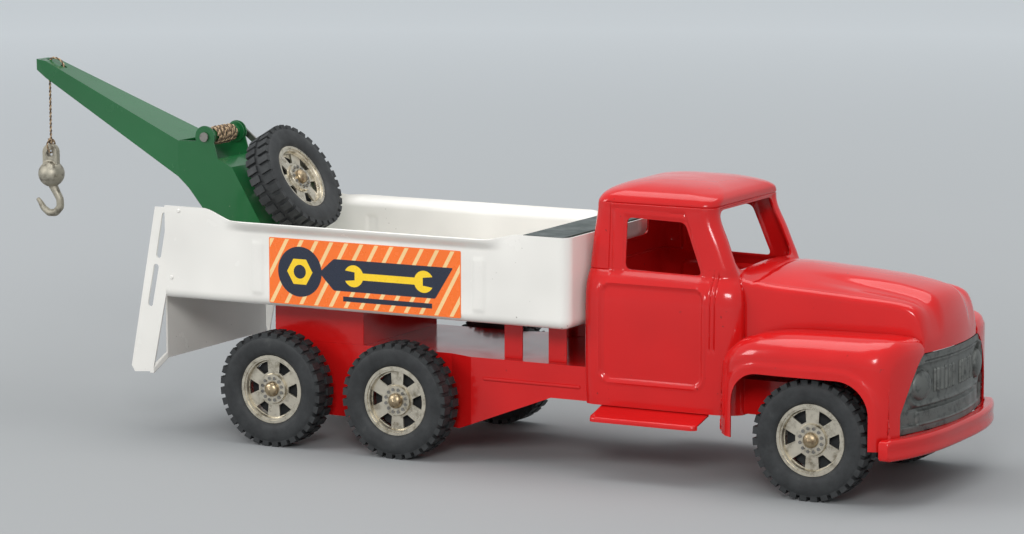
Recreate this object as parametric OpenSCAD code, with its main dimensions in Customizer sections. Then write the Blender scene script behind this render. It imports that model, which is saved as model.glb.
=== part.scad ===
// Toy crane truck: a pressed-steel wrecker with six road wheels, a spare wheel, a fixed boom and a string winch.
// Millimetres. +X is forwards, +Y is the truck's left, +Z is up, and the ground is Z = 0.
// The origin is on the ground, midway between the bumper's front and the hook's tip, in the centre plane.

/* [Wheels] */
// Outside diameter of every tyre
tyre_diameter = 76; // [74:0.5:77]
// Width of a tyre across its tread
tyre_width = 20; // [19:0.5:21]
// Outside radius of a wheel rim
rim_radius = 22.7; // [22:0.1:23]
// Number of tread blocks around each shoulder of a tyre
tread_blocks = 32; // [24:1:40]
// Radius of the axle rods
axle_radius = 2; // [1.8:0.1:2.2]

/* [Layout] */
// Distance from the front axle to the first rear axle
wheelbase = 292.5; // [290:0.5:295]
// Distance between the two rear axles
tandem_gap = 93.5; // [90:0.5:95]
// Distance from the centre plane to the outer face of a road tyre
half_track = 80.3; // [79.5:0.1:81]

/* [Pressed steel] */
// Thickness of the pressed sheet
sheet = 1.2; // [1:0.1:1.4]
// Half the width of the bed over its side walls
bed_half_width = 76; // [75:0.5:77]
// Half the width of the boom's two side plates
boom_half_width = 21; // [20.5:0.1:21.5]

/* [Winch] */
// Radius of the string wound on the drum
winding_radius = 6.5; // [6:0.1:7]
// Diameter of the string
string_diameter = 1.8; // [1.4:0.1:2]

/* [Hidden] */

RED = [0.72, 0.08, 0.08];
WHITE = [0.9, 0.89, 0.85];
GREEN = [0.1, 0.33, 0.16];
BLACK = [0.13, 0.13, 0.13];
NICKEL = [0.74, 0.72, 0.66];
BRONZE = [0.55, 0.46, 0.36];
PEWTER = [0.37, 0.38, 0.36];
TAN = [0.7, 0.58, 0.42];

RIGHT = -1;
LEFT = 1;
eps = 0.01;
run_clearance = 0.05;
tyre_r = tyre_diameter / 2;
axle_z = tyre_r;
middle_axle_x = -13;
rear_axle_x = middle_axle_x - tandem_gap;
front_axle_x = middle_axle_x + wheelbase;
track_shift = wheelbase - 292.5;

// Wheel: depths are measured inwards from the tyre's outer face.
rim_inset = 2.75;
hub_radius = 4.5;
hub_back = tyre_width - 1.2;
flange_face = 4;
cap_radius = 5;
cap_rim_depth = flange_face - 0.1;
axle_half_length = half_track - 1.6;

// Chassis
frame_half_narrow = 50;
frame_half_wide = 57;
frame_top_z = 67.5;
frame_rear_x = -119.5;
frame_front_x = 318 + track_shift;
bolster_front_x = -52;

// Bed
bed_rear_x = -189;
bed_front_x = 112;
bed_bottom_z = 93;
bed_low_z = 148;
bed_front_z = 152;
bed_rear_z = 155;
lip_bend_z = 141;
lip_flare = 6;

// Boom and winch
winch_x = -191.5;
winch_z = 195;
spare_tilt = 59;
spare_face = [-125.5, 0, 171.4];
string_x = -331;
string_top_z = 227;
knot_z = 183;
hook_eye_z = 174.6;

// ---------- Shared shapes ----------

// Cross products around a ring, whose total is its normal, and the total of a list of points.
function ring_normal(ring) = let (n = len(ring)) [for (i = [0:n - 1]) cross(ring[i], ring[(i + 1) % n])];
function total(list, i = 0) = i >= len(list) ? [0, 0, 0] : list[i] + total(list, i + 1);

// Triangles across a ring of n points, from its first and last points inwards.
function cap_faces(n) = [
  for (i = [0:floor(n / 2) - 2])
    each [[i, i + 1, n - 2 - i], [i, n - 2 - i, n - 1 - i]],
  if (n % 2 == 1) [(n - 3) / 2, (n - 1) / 2, (n + 1) / 2]
];

// Closed body through outline rings that all have the same number of points, whichever way they run.
module loft(rings) {
  n = len(rings[0]);
  last = len(rings) - 1;
  way = total(rings[last]) - total(rings[0]);
  turns_left = total(ring_normal(rings[0])) * way > 0;
  start = cap_faces(n);
  faces = concat(
    start,
    [for (k = [0:last - 1], i = [0:n - 1], half = [0, 1])
      let (a = k * n + i, b = k * n + (i + 1) % n)
      half == 0 ? [a, a + n, b] : [b, a + n, b + n]],
    [for (f = start) [last * n + f[2], last * n + f[1], last * n + f[0]]]
  );
  polyhedron(
    points = [for (ring = rings) each ring],
    faces = turns_left ? faces : [for (f = faces) [f[2], f[1], f[0]]]
  );
}

// Level ring: a rectangle with elliptical corners, anticlockwise from above.
function level_ring(back, front, half, back_r, front_rx, front_ry, z, steps = 6) = [
  for (corner = [0:3], s = [0:steps])
    let (
      a = corner * 90 + s * 90 / steps,
      ahead = corner == 0 || corner == 3,
      rx = ahead ? front_rx : back_r,
      ry = ahead ? front_ry : back_r,
      cx = ahead ? front - rx : back + rx,
      cy = corner < 2 ? half - ry : ry - half
    )
    [cx + rx * cos(a), cy + ry * sin(a), z]
];

// Lays an outline drawn in (x, z) across the truck, from y0 to y1.
module across(y0, y1) {
  translate([0, y1, 0])
    rotate([90, 0, 0])
      linear_extrude(height = y1 - y0)
        children();
}

// Lays an outline drawn in (y, z) along the truck, from x0 to x1.
module along(x0, x1) {
  translate([x0, 0, 0])
    rotate([90, 0, 90])
      linear_extrude(height = x1 - x0)
        children();
}

module rod_y(x, z, y0, y1, r) {
  translate([x, y1, z])
    rotate([90, 0, 0])
      cylinder(h = y1 - y0, r = r, $fn = 48);
}

// Puts a wheel piece, drawn with its outer face up at Z = 0, on a road axle.
module on_axle(x, side) {
  translate([x, side * half_track, axle_z])
    rotate([-90 * side, 0, 0])
      children();
}

module on_spare_stud() {
  translate(spare_face)
    rotate([0, spare_tilt, 0])
      children();
}

// ---------- Wheels ----------

function toothed_ring(count, low_r, high_r, gap_deg, turn) = [
  for (i = [0:count - 1])
    each [
      let (a = turn + i * 360 / count) [low_r * cos(a - gap_deg), low_r * sin(a - gap_deg)],
      let (a = turn + i * 360 / count) [low_r * cos(a + gap_deg), low_r * sin(a + gap_deg)],
      let (a = turn + i * 360 / count) [high_r * cos(a + gap_deg), high_r * sin(a + gap_deg)],
      let (a = turn + (i + 1) * 360 / count) [high_r * cos(a - gap_deg), high_r * sin(a - gap_deg)]
    ]
];

module tread_band(top, bottom, turn) {
  difference() {
    translate([0, 0, bottom])
      linear_extrude(height = top - bottom)
        polygon(toothed_ring(tread_blocks, tyre_r - 3.1, tyre_r, 2, turn));
    translate([0, 0, bottom - 1])
      cylinder(h = top - bottom + 2, r = tyre_r - 5, $fn = 96);
  }
}

module tyre_shape() {
  bead_r = rim_radius + 0.3;
  w = tyre_width;
  color(BLACK) {
    rotate_extrude($fn = 96)
      polygon([
        [bead_r, -2.6], [bead_r + 1.8, -0.9], [29, 0], [tyre_r - 4.5, -0.3], [tyre_r - 2.8, -1.2],
        [tyre_r - 1.8, -3], [tyre_r - 1.8, 3 - w], [tyre_r - 2.8, 1.2 - w], [tyre_r - 4.5, 0.3 - w],
        [29, -w], [bead_r + 1.8, 0.9 - w], [bead_r, 2.6 - w]
      ]);
    tread_band(-0.8, -w / 2 + 1.4, 0);
    tread_band(-w / 2 - 1.4, 0.8 - w, 180 / tread_blocks);
  }
}

module rim_shape() {
  spokes = 6;
  lugs = 12;
  disc_front = 6;
  disc_back = 7.3;
  color(NICKEL)
    difference() {
      union() {
        rotate_extrude($fn = 96)
          polygon([
            [rim_radius, -rim_inset], [rim_radius - 1.9, -rim_inset], [rim_radius - 1.9, -3.5],
            [rim_radius - 3.1, -3.5], [rim_radius - 3.8, -disc_front], [10.2, -disc_front],
            [9.6, -flange_face], [0.5, -flange_face], [0.5, -hub_back], [hub_radius, -hub_back],
            [hub_radius, -disc_back], [rim_radius - 3.1, -disc_back], [rim_radius - 1.3, -9],
            [rim_radius - 1.3, rim_inset - tyre_width], [rim_radius, rim_inset - tyre_width]
          ]);
        for (i = [0:lugs - 1])
          rotate([0, 0, (i + 0.5) * 360 / lugs])
            translate([7.4, 0, -flange_face - 0.5])
              cylinder(h = 1, r = 0.8, $fn = 24);
      }
      for (i = [0:spokes - 1])
        rotate([0, 0, i * 360 / spokes])
          translate([0, 0, -10])
            linear_extrude(height = 6.2)
              polygon([[11.3, -1.8], [17.9, -5], [18.4, 0], [17.9, 5], [11.3, 1.8]]);
      translate([0, 0, -tyre_width])
        cylinder(h = tyre_width, r = axle_radius + run_clearance, $fn = 48);
    }
}

// Domed cap pressed on the end of an axle or stud.
module cap_shape() {
  color(BRONZE)
    difference() {
      rotate_extrude($fn = 64)
        polygon(concat(
          [[0, -cap_rim_depth], [cap_radius, -cap_rim_depth]],
          [for (a = [0:15:75]) [cap_radius * cos(a), -3.2 + 3.1 * sin(a)]],
          [[0, 0.3]]
        ));
      translate([0, 0, -tyre_width])
        cylinder(h = tyre_width - 1.6, r = axle_radius, $fn = 48);
    }
}

module tyre_front_right() { on_axle(front_axle_x, RIGHT) tyre_shape(); }
module tyre_middle_right() { on_axle(middle_axle_x, RIGHT) tyre_shape(); }
module tyre_rear_right() { on_axle(rear_axle_x, RIGHT) tyre_shape(); }
module tyre_front_left() { on_axle(front_axle_x, LEFT) tyre_shape(); }
module tyre_middle_left() { on_axle(middle_axle_x, LEFT) tyre_shape(); }
module tyre_rear_left() { on_axle(rear_axle_x, LEFT) tyre_shape(); }
module rim_front_right() { on_axle(front_axle_x, RIGHT) rim_shape(); }
module rim_middle_right() { on_axle(middle_axle_x, RIGHT) rim_shape(); }
module rim_rear_right() { on_axle(rear_axle_x, RIGHT) rim_shape(); }
module rim_front_left() { on_axle(front_axle_x, LEFT) rim_shape(); }
module rim_middle_left() { on_axle(middle_axle_x, LEFT) rim_shape(); }
module rim_rear_left() { on_axle(rear_axle_x, LEFT) rim_shape(); }

module cap_pair(x) {
  for (side = [RIGHT, LEFT])
    on_axle(x, side)
      cap_shape();
}

module caps_front() { cap_pair(front_axle_x); }
module caps_middle() { cap_pair(middle_axle_x); }
module caps_rear() { cap_pair(rear_axle_x); }
module spare_tyre() { on_spare_stud() tyre_shape(); }
module spare_rim() { on_spare_stud() rim_shape(); }
module spare_cap() { on_spare_stud() cap_shape(); }

module axle_rod(x) {
  color(NICKEL)
    rod_y(x, axle_z, -axle_half_length, axle_half_length, axle_radius);
}

module front_axle() { axle_rod(front_axle_x); }
module middle_axle() { axle_rod(middle_axle_x); }
module rear_axle() { axle_rod(rear_axle_x); }

// ---------- Chassis ----------

// Outline of the frame seen from above, drawn as its right-hand edge and mirrored.
function frame_edge(inset) = [
  [frame_rear_x, frame_half_narrow - inset], [14, frame_half_narrow - inset],
  [32, frame_half_wide - inset], [192, frame_half_wide - inset],
  [206, frame_half_narrow - inset], [frame_front_x, frame_half_narrow - inset]
];

module frame_plan(inset) {
  edge = frame_edge(inset);
  n = len(edge);
  polygon(concat(
    [for (i = [0:n - 1]) [edge[i][0], -edge[i][1]]],
    [for (i = [n - 1:-1:0]) edge[i]]
  ));
}

module frame_side_profile(x0, x1, top) {
  polygon([
    [x0, top], [x1, top], [x1, 50], [front_axle_x + 14, 50], [front_axle_x + 9, 31],
    [front_axle_x - 9, 31], [front_axle_x - 14, 45.5], [90, 45.5], [21, 19], [x0, 19]
  ]);
}

tongue_x = frame_front_x - 20;
tongue_out = 38;
tongue_wide = 8;
tongue_z = 39.2;
tongue_thick = 3.4;

module chassis_frame() {
  color(RED) {
    difference() {
      intersection() {
        translate([0, 0, 10])
          linear_extrude(height = frame_top_z - 10)
            frame_plan(0);
        across(-60, 60)
          frame_side_profile(frame_rear_x, frame_front_x, frame_top_z);
      }
      translate([0, 0, 5])
        linear_extrude(height = frame_top_z - sheet - 5)
          frame_plan(sheet);
      for (x = [rear_axle_x, middle_axle_x, front_axle_x])
        rod_y(x, axle_z, -60, 60, axle_radius);
      translate([frame_rear_x - 1, sheet - frame_half_narrow, 10])
        cube([4, 2 * (frame_half_narrow - sheet), frame_top_z - sheet - 10]);
    }
    // Tongues that carry the bumper, each with a lug that stands behind the grille
    for (y = [-tongue_out, tongue_out - tongue_wide]) {
      translate([tongue_x, y, tongue_z])
        cube([bumper_x(tongue_out) - 0.05 - tongue_x, tongue_wide, tongue_thick]);
      translate([tongue_x, y, tongue_z])
        cube([12, tongue_wide, frame_top_z - tongue_z]);
      translate([nose_x(tongue_out) - grille_thick - 4.05, y, tongue_z])
        cube([4, tongue_wide, 10]);
    }
    for (side = [RIGHT, LEFT])
      hull()
        for (x = [42, 110])
          translate([x, side * (frame_half_wide - 0.3), 54])
            sphere(r = 1.3, $fn = 24);
  }
}

// Raised pressing over the rear axles that carries the bed.
module rear_bolster() {
  length = bolster_front_x - frame_rear_x;
  height = bed_bottom_z - frame_top_z;
  color(RED)
    difference() {
      translate([frame_rear_x, -frame_half_narrow, frame_top_z])
        cube([length, 2 * frame_half_narrow, height]);
      translate([frame_rear_x - 1, sheet - frame_half_narrow, frame_top_z - 1])
        cube([length + 1 - sheet, 2 * (frame_half_narrow - sheet), height + 1 - sheet]);
    }
}

// Four small angle brackets between the frame and the front of the bed.
module bed_brackets() {
  height = bed_bottom_z - frame_top_z;
  color(RED)
    for (x = [52, 84], side = [RIGHT, LEFT])
      translate([x, side * 48 - sheet / 2, frame_top_z]) {
        cube([13, sheet, height]);
        translate([0, side == RIGHT ? 0 : sheet - 8, 0])
          cube([sheet, 8, height]);
      }
}

// ---------- Bed ----------

// Height of the wall's top edge along the bed.
function smooth(t) = let (c = max(0, min(1, t))) c * c * (3 - 2 * c);
function wall_top(x) = x < 0
  ? bed_rear_z + (bed_low_z - bed_rear_z) * smooth((x + 160) / 24)
  : bed_low_z + (bed_front_z - bed_low_z) * smooth((x - 54) / 22);
function flare(x) = lip_flare * smooth((x + 146) / 22) * (1 - smooth((x - 48) / 20));
bed_stations = [-189, -160, -155, -150, -145, -140, -135, -130, -124, -60, 0, 48, 53, 58, 63, 68, 76, 108];

// Ring across one wall: up the outside, over the flared lip and down the inside.
function wall_ring(x) = let (
    out = flare(x),
    half = bed_half_width,
    drop = 0.6 * out / lip_flare
  ) [
    [x, half, bed_bottom_z], [x, half, lip_bend_z], [x, half + out * 0.45, lip_bend_z + 2.6],
    [x, half + out, wall_top(x) - drop], [x, half + out - sheet, wall_top(x)],
    [x, half - sheet + out * 0.45, lip_bend_z + 3.2], [x, half - sheet, lip_bend_z + 0.6],
    [x, half - sheet, bed_bottom_z]
  ];

module bed_wall(side) {
  mirror([0, side == LEFT ? 0 : 1, 0])
    loft([for (i = [len(bed_stations) - 1:-1:0]) wall_ring(bed_stations[i])]);
}

module bed_box() {
  corner = 4;
  color(WHITE) {
    for (side = [RIGHT, LEFT])
      bed_wall(side);
    // Floor
    translate([bed_rear_x, eps - bed_half_width, bed_bottom_z])
      cube([bed_front_x - bed_rear_x - corner, 2 * (bed_half_width - eps), sheet]);
    // Front wall with rounded upright corners and a turned-up lower edge
    difference() {
      linear_extrude(height = bed_front_z)
        difference() {
          bed_front_plan(0);
          bed_front_plan(sheet);
        }
      translate([0, 0, -1])
        cylinder(h = bed_bottom_z + 1, r = 300, $fn = 12);
      across(-bed_half_width - 1, bed_half_width + 1)
        difference() {
          translate([bed_front_x - 7, bed_bottom_z - 1])
            square([8, 8]);
          translate([bed_front_x - 7, bed_bottom_z + 7])
            circle(r = 7, $fn = 48);
        }
    }
    translate([bed_front_x - 7, eps - bed_half_width + 4, 0])
      across(0, 2 * (bed_half_width - 4 - eps))
        difference() {
          translate([0, bed_bottom_z + 7])
            circle(r = 7, $fn = 48);
          translate([0, bed_bottom_z + 7])
            circle(r = 7 - sheet, $fn = 48);
          translate([-8, bed_bottom_z - 1])
            square([8, 16]);
          translate([-8, bed_bottom_z + 7])
            square([16, 8]);
        }
    // Pressed stakes in the walls
    for (x = [-117, 48])
      stake(x, RIGHT);
    for (x = [-117, 48])
      stake(x, LEFT);
  }
}

module bed_front_plan(inset) {
  corner = 4;
  x = bed_front_x - inset;
  half = bed_half_width - inset;
  r = corner - inset;
  hull() {
    translate([x - corner - eps, -half])
      square([eps, 2 * half]);
    for (y = [r - half, half - r])
      translate([x - r, y])
        circle(r = r, $fn = 32);
  }
  translate([x - corner - 10 * inset, -half])
    square([10 * inset + eps, 2 * half]);
}

module stake(x, side) {
  translate([x - 4, side * bed_half_width - 0.7, bed_bottom_z + 4])
    cube([8, 1.4, lip_bend_z - bed_bottom_z - 8]);
}

module bed_rivets() {
  color(WHITE)
    for (side = [RIGHT, LEFT], p = [[-178, 152], [-184, 107]])
      translate([p[0], side * (bed_half_width + eps), p[1]])
        rotate([-90 * side, 0, 0])
          cylinder(h = 0.7, r1 = 1.5, r2 = 0.9, $fn = 32);
}

// Dark green cross plate between the walls at the front of the bed.
module deck_plate() {
  inner = bed_half_width - sheet - 0.05;
  deck_x = 79;
  deck_length = 28.8;
  color(GREEN) {
    translate([deck_x, -inner, bed_front_z + 0.2 - sheet])
      cube([deck_length, 2 * inner, sheet]);
    translate([deck_x, -inner, bed_front_z - 9])
      cube([sheet, 2 * inner, 8.2]);
  }
}

// Rear apron: a cross panel below the bed, a slotted arm on each side and a rolled lower edge.
module rear_apron() {
  panel_half = 63.4;
  arm_inner = bed_half_width - sheet - 0.2;
  color(WHITE) {
    along(-197, -197 + sheet)
      polygon([
        [-panel_half, bed_bottom_z], [-panel_half, 50], [panel_half, 50], [panel_half, bed_bottom_z]
      ]);
    translate([-197, -panel_half, bed_bottom_z - sheet])
      cube([22, 2 * panel_half, sheet - eps]);
    for (side = [RIGHT, LEFT])
      apron_arm(side, arm_inner);
  }
}

module apron_arm(side, inner) {
  y0 = side == RIGHT ? -inner : inner - sheet;
  across(y0, y0 + sheet)
    difference() {
      polygon([[-197.5, 153.5], [-181, 153.5], [-181.5, 118], [-189.6, 94.6], [-199, 50], [-201, 42], [-215, 41], [-217.5, 45]]);
      slanted_slot(-190, 148, -195, 121);
      slanted_slot(-197, 113, -202, 88);
    }
  // Rolled lower edge that carries the arm round to the cross panel
  hull() {
    translate([-203, y0, 41])
      cube([3, sheet, 3]);
    translate([-197, side == RIGHT ? -63.4 : 62.2, 50])
      cube([sheet, sheet, 4]);
  }
}

module slanted_slot(x0, z0, x1, z1) {
  hull() {
    translate([x0, z0])
      circle(r = 2, $fn = 24);
    translate([x1, z1])
      circle(r = 2, $fn = 24);
  }
}

// Thin printed panel stuck to a bed wall.
module side_label(side) {
  y = side == RIGHT ? -bed_half_width - 0.4 : bed_half_width;
  translate([-108, y, bed_bottom_z + 2.6])
    cube([143, 0.4, 43.5]);
}

module side_label_right() { color([1, 0.45, 0.05]) side_label(RIGHT); }
module side_label_left() { color([1, 0.45, 0.05]) side_label(LEFT); }

// ---------- Cab ----------

cab_back_x = 113.8;
cab_front_x = 222.5;
belt_z = 131;
drip_z = 173.5;
wall = 1.4;
skin_gap = 0.15;

// Rings up the cab below the belt, drawn in by inset from the outer skin.
function lower_rings(inset, floor_z) = [
  for (s = [[floor_z, 59.5], [52, 60.4], [90, 61.6], [112, 61.4], [120, 60.4], [126, 58], [belt_z, 54.6]])
    level_ring(cab_back_x + inset, cab_front_x - inset - (s[0] > 120 ? (s[0] - 120) * 0.5 : 0),
      s[1] - inset, 8 - inset / 2, 22, 10, s[0])
];

// Rings up the window posts and over the crowned roof: height, back, front, half width, corner radius.
function upper_rings(inset, top_z) = [
  for (s = [
    [belt_z - 2 - inset, 113.8, 216.6, 54.6, 8], [150, 115.5, 208.6, 53.2, 8], [171, 117.5, 201, 52, 9],
    [174, 117.6, 201.5, 52, 10], [177.5, 118.8, 202, 50.6, 12], [180.5, 121.5, 200, 47.5, 15],
    [183, 126.5, 195, 42, 18], [185, 133, 187, 34, 18], [top_z, 143, 175, 22, 12]
  ])
    level_ring(s[1] + inset, s[2] - inset, s[3] - inset, s[4], s[4], s[4],
      s[0] - (s[0] > 172 ? inset : 0))
];

module cab_skin_lower() {
  difference() {
    loft(lower_rings(0, 44.5));
    loft(lower_rings(wall, 43));
  }
}

module cab_skin_upper() {
  difference() {
    loft(upper_rings(0, 186.6));
    loft(upper_rings(wall, 186.6));
  }
}

module window_cuts() {
  across(-70, 70)
    offset(r = 2.5, $fn = 24)
      offset(delta = -2.5)
        polygon([[141, 131.8], [194.5, 131], [181.5, 163.6], [141, 164.6]]);
  along(195, 230)
    offset(r = 4, $fn = 24)
      offset(delta = -4)
        polygon([[-42.5, 134.2], [42.5, 134.2], [40, 171], [-40, 171]]);
  along(105, 122)
    offset(r = 4, $fn = 24)
      offset(delta = -4)
        polygon([[-30, 143], [30, 143], [26, 168], [-26, 168]]);
}

// Groove lines pressed around each door panel and down the door's two shut lines.
module door_grooves() {
  for (side = [RIGHT, LEFT])
    across(side == RIGHT ? -66 : 61, side == RIGHT ? -61 : 66) {
      difference() {
        translate([128, 64])
          offset(r = 5, $fn = 24)
            square([69, 54]);
        translate([128, 64])
          offset(r = 4.2, $fn = 24)
            square([69, 54]);
      }
      translate([203, 84])
        square([0.7, 46]);
    }
}

module cab_body() {
  color(RED) {
    difference() {
      union() {
        cab_skin_lower();
        cab_skin_upper();
      }
      roof_region(0.3);
      window_cuts();
      difference() {
        door_grooves();
        loft(lower_rings(0.5, 44.5));
      }
      // Open window well behind the cowl, and room for the frame that passes under the cab
      translate([cab_back_x + 3, -53, belt_z - 3])
        cube([96, 106, 6]);
      translate([cab_back_x - 5, -frame_half_wide - 0.2, 40])
        cube([120, 2 * frame_half_wide + 0.4, frame_top_z - 39.8]);
    }
    // Firewall between the cab and the engine bay
    intersection() {
      translate([204, -62, 69])
        cube([wall, 124, 60]);
      loft(lower_rings(0.6, 44.5));
    }
  }
}

// The space taken by the roof and the back of the cab above the belt.
module roof_region(grow) {
  translate([60, -90, drip_z - grow])
    cube([200, 180, 40]);
  translate([60, -90, belt_z - grow])
    cube([129.5 - 60 + grow, 180, 60]);
}

module cab_roof() {
  color(RED)
    difference() {
      intersection() {
        cab_skin_upper();
        roof_region(0);
      }
      window_cuts();
    }
}

// ---------- Hood, fenders and nose ----------

// Half of a hood section: distance from the centre plane as a share of the half width, with an edge inset,
// and height as a share of the crown's rise over the shoulder, with a drop below it.
hood_half = [
  [1, 0, 0, 5], [1, -0.5, 0, 3], [1, -2, 0, 1.2], [1, -6, 0.06, 0], [0.6, 0, 0.45, 0], [0.3, 0, 0.85, 0]
];

// Points of a hood section from its left foot over the crown to its right foot, moved in by t.
function hood_line(x, crown, shoulder, half, foot, bow, t) = let (
    h = half - t,
    rise = shoulder - foot,
    round_share = min(1, rise / 12),
    side = [
      for (p = hood_half)
        [h * p[0] + p[1], shoulder - t + (crown - shoulder) * p[2] - p[3] * round_share]
    ],
    up = concat([[h, foot], [h, foot + rise * 0.3]], side, [[0, crown - t]]),
    all = concat(up, [for (i = [len(up) - 2:-1:0]) [-up[i][0], up[i][1]]])
  ) [for (q = all) [x - bow * pow(q[0] / half, 2), q[0], q[1]]];

// Hood stations from the windscreen to the nose: x, crown height, shoulder height, half width, foot height, bow.
hood_stations = [
  [214, 136.4, 133.6, 47, 126, 0], [222.5, 137, 130.6, 49.5, 94, 0], [240, 136.9, 128, 49.2, 94, 0],
  [265, 135, 126.6, 48.6, 94, 0], [291, 131.6, 125, 48, 94, 0], [315, 128, 123.4, 47, 93.6, 1],
  [330, 124.6, 121.4, 46, 93.2, 2.5], [337, 121.2, 118.4, 45.2, 93, 3.5], [341, 116, 113.6, 44.6, 92.6, 4.5],
  [343.6, 108, 106.4, 44.2, 92.4, 5], [345, 99, 98, 44, 92.2, 5]
];

// The pressed hood is one sheet: each ring runs over its outside and back along its inside.
module hood_sheet() {
  last = len(hood_stations) - 1;
  loft([for (i = [last:-1:0]) let (
      s = hood_stations[i],
      b = hood_stations[max(0, i - 1)],
      a = hood_stations[min(last, i + 1)],
      run = norm([a[0] - b[0], a[1] - b[1]]),
      back = wall * (b[1] - a[1]) / run,
      down = wall * (a[0] - b[0]) / run,
      outer = hood_line(s[0], s[1], s[2], s[3], s[4], s[5], 0),
      inner = hood_line(s[0] - back, s[1] + wall - down, s[2] + wall - down, s[3], s[4], s[5], wall)
    ) concat(outer, [for (k = [len(inner) - 1:-1:0]) inner[k]])]);
}

// Turned-down front edge of the hood, bowed like the grille below it.
nose_edge_top = 98.2;
nose_edge_low = 92.4;
module hood_nose_edge() {
  half = 43;
  loft([for (i = [-8:8]) let (y = half * i / 8, x = 344.9 - 5 * pow(y / 44, 2))
    [[x, y, nose_edge_low], [x, y, nose_edge_top], [x - wall, y, nose_edge_top], [x - wall, y, nose_edge_low]]]);
}

module hood() {
  color(RED)
    difference() {
      union() {
        hood_sheet();
        hood_nose_edge();
      }
      // The hood's back edge follows the cab's front and its windscreen posts
      loft(lower_rings(-skin_gap, 44));
      loft(upper_rings(-skin_gap, 186.6));
    }
}

module fender_right() { fender(RIGHT); }
module fender_left() { fender(LEFT); }
module fender(side) {
  color(RED)
    mirror([0, side == LEFT ? 0 : 1, 0])
      translate([front_axle_x - 279.5, 0, 0])
        fender_shape();
}

// Stations along a fender from its rear foot to its nose: x, top height, outer half width, inner half width, bow.
fender_stations = [
  [213, 76, 64, 61, 0], [217, 85, 71, 59.4, 0], [220.5, 89.4, 74.5, 57, 0], [224, 92.5, 78, 52.6, 0],
  [232, 97.5, 82, 50.6, 0],
  [246, 101.2, 85, 50.4, 0], [266, 102.8, 86, 50.4, 0], [300, 103.4, 86, 48.6, 1], [320, 103.5, 85.8, 47.4, 4],
  [332, 102.6, 84.6, 46.2, 7], [338, 100, 82, 45.2, 8.5], [340.6, 95.5, 79, 44.6, 9.6]
];

// Ring at a fender station, moved in by t, from the outer foot over the crown to the inner foot.
function fender_ring(s, t, end, reach, foot) = let (
    out = s[2] - t,
    inner = s[3] - reach,
    top = s[1] - t,
    w = s[2] - s[3],
    line = [
      [out, foot], [out, top - w * 0.5], [out - w * 0.05, top - w * 0.3], [out - w * 0.15, top - w * 0.14],
      [out - w * 0.3, top - w * 0.05], [out - w * 0.5, top], [out - w * 0.75, top], [inner, top - 1], [inner, foot]
    ]
  ) [for (q = line) [s[0] + end - s[4] * pow(max(0, q[0] - 44) / 36, 2), q[0], q[1]]];

module fender_shape() {
  foot = 36;
  last = len(fender_stations) - 1;
  difference() {
    loft([for (i = [last:-1:0]) fender_ring(fender_stations[i], 0, 0, 0, foot)]);
    loft([for (i = [last:-1:0])
      fender_ring(fender_stations[i], wall, i > last / 2 ? -wall : wall, 8, foot - 5)]);
    // Wheel arch through the outer skin
    across(60, 100) {
      translate([227, 20])
        square([94, 38]);
      hull() {
        translate([247, 58])
          circle(r = 20, $fn = 48);
        translate([300, 57])
          circle(r = 21, $fn = 48);
      }
    }
    // Seat of the grille
    grille_slab(0.3, 12);
  }
}

// The nose is bowed: its front face runs back towards the sides.
function nose_x(y) = 345.6 - 12 * pow(y / 70, 2);

// Upper edge of the grille across its width.
function grille_top(y) = let (d = abs(y)) d < 44 ? 91.5 : 91.5 - 35 * pow((d - 44) / 26.5, 1.6);

grille_half = 70;
grille_low = 44.3;
grille_thick = 2.6;
lamp_y = 46;
lamp_z = 68.5;
rib_pitch = 8;
rib_relief = 1.3;
recess_wide = 5.8;
rib_box_x = 330;
rib_box_long = 20;

// Bowed slab inside the grille's outline, grown all round and thickened forwards by ahead.
module grille_slab(grow, ahead) {
  half = grille_half + grow;
  loft([for (i = [-10:10]) let (y = half * i / 10, x = nose_x(y), top = grille_top(y) + grow)
    [
      [x + ahead, y, grille_low - grow], [x + ahead, y, top],
      [x - grille_thick - grow, y, top], [x - grille_thick - grow, y, grille_low - grow]
    ]]);
}

module grille() {
  color(PEWTER) {
    difference() {
      grille_slab(0, 0);
      // Shallow upright recesses between the ribs, above and below the cross bar
      intersection() {
        translate([grille_thick - rib_relief, 0, 0])
          grille_slab(0, 0);
        for (i = [-3.5:1:3.5]) {
          translate([rib_box_x, i * rib_pitch - recess_wide / 2, 64.5])
            cube([rib_box_long, recess_wide, 19]);
          translate([rib_box_x, i * rib_pitch - recess_wide / 2, 48])
            cube([rib_box_long, recess_wide, 8]);
        }
      }
    }
    // Lamp bosses
    for (side = [RIGHT, LEFT])
      translate([nose_x(lamp_y) - 2.2, side * lamp_y, lamp_z])
        rotate([0, 90, side * 12.7])
          cylinder(h = 4.2, r = 10.5, $fn = 64);
  }
}

bumper_half = 88;
function bumper_x(y) = 349 - 15 * pow(abs(y) / bumper_half, 3);

// Bowed channel, open at the back.
module bumper() {
  ys = [-88, -84, -78, -70, -60, -50, -35, -18, 0, 18, 35, 50, 60, 70, 78, 84, 88];
  color(RED)
    loft([for (y = ys) let (x = bumper_x(y), d = abs(y) > 86 ? 2.5 : 0)
      [
        [x - 5, y, 44 - d], [x + 0.6, y, 44 - d], [x + 1.5, y, 42 - d], [x + 1.5, y, 32.7 + d],
        [x + 0.6, y, 30.7 + d], [x - 5, y, 30.7 + d], [x - 5, y, 31.9 + d], [x, y, 31.9 + d],
        [x, y, 42.8 - d], [x - 5, y, 42.8 - d]
      ]]);
}

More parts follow.
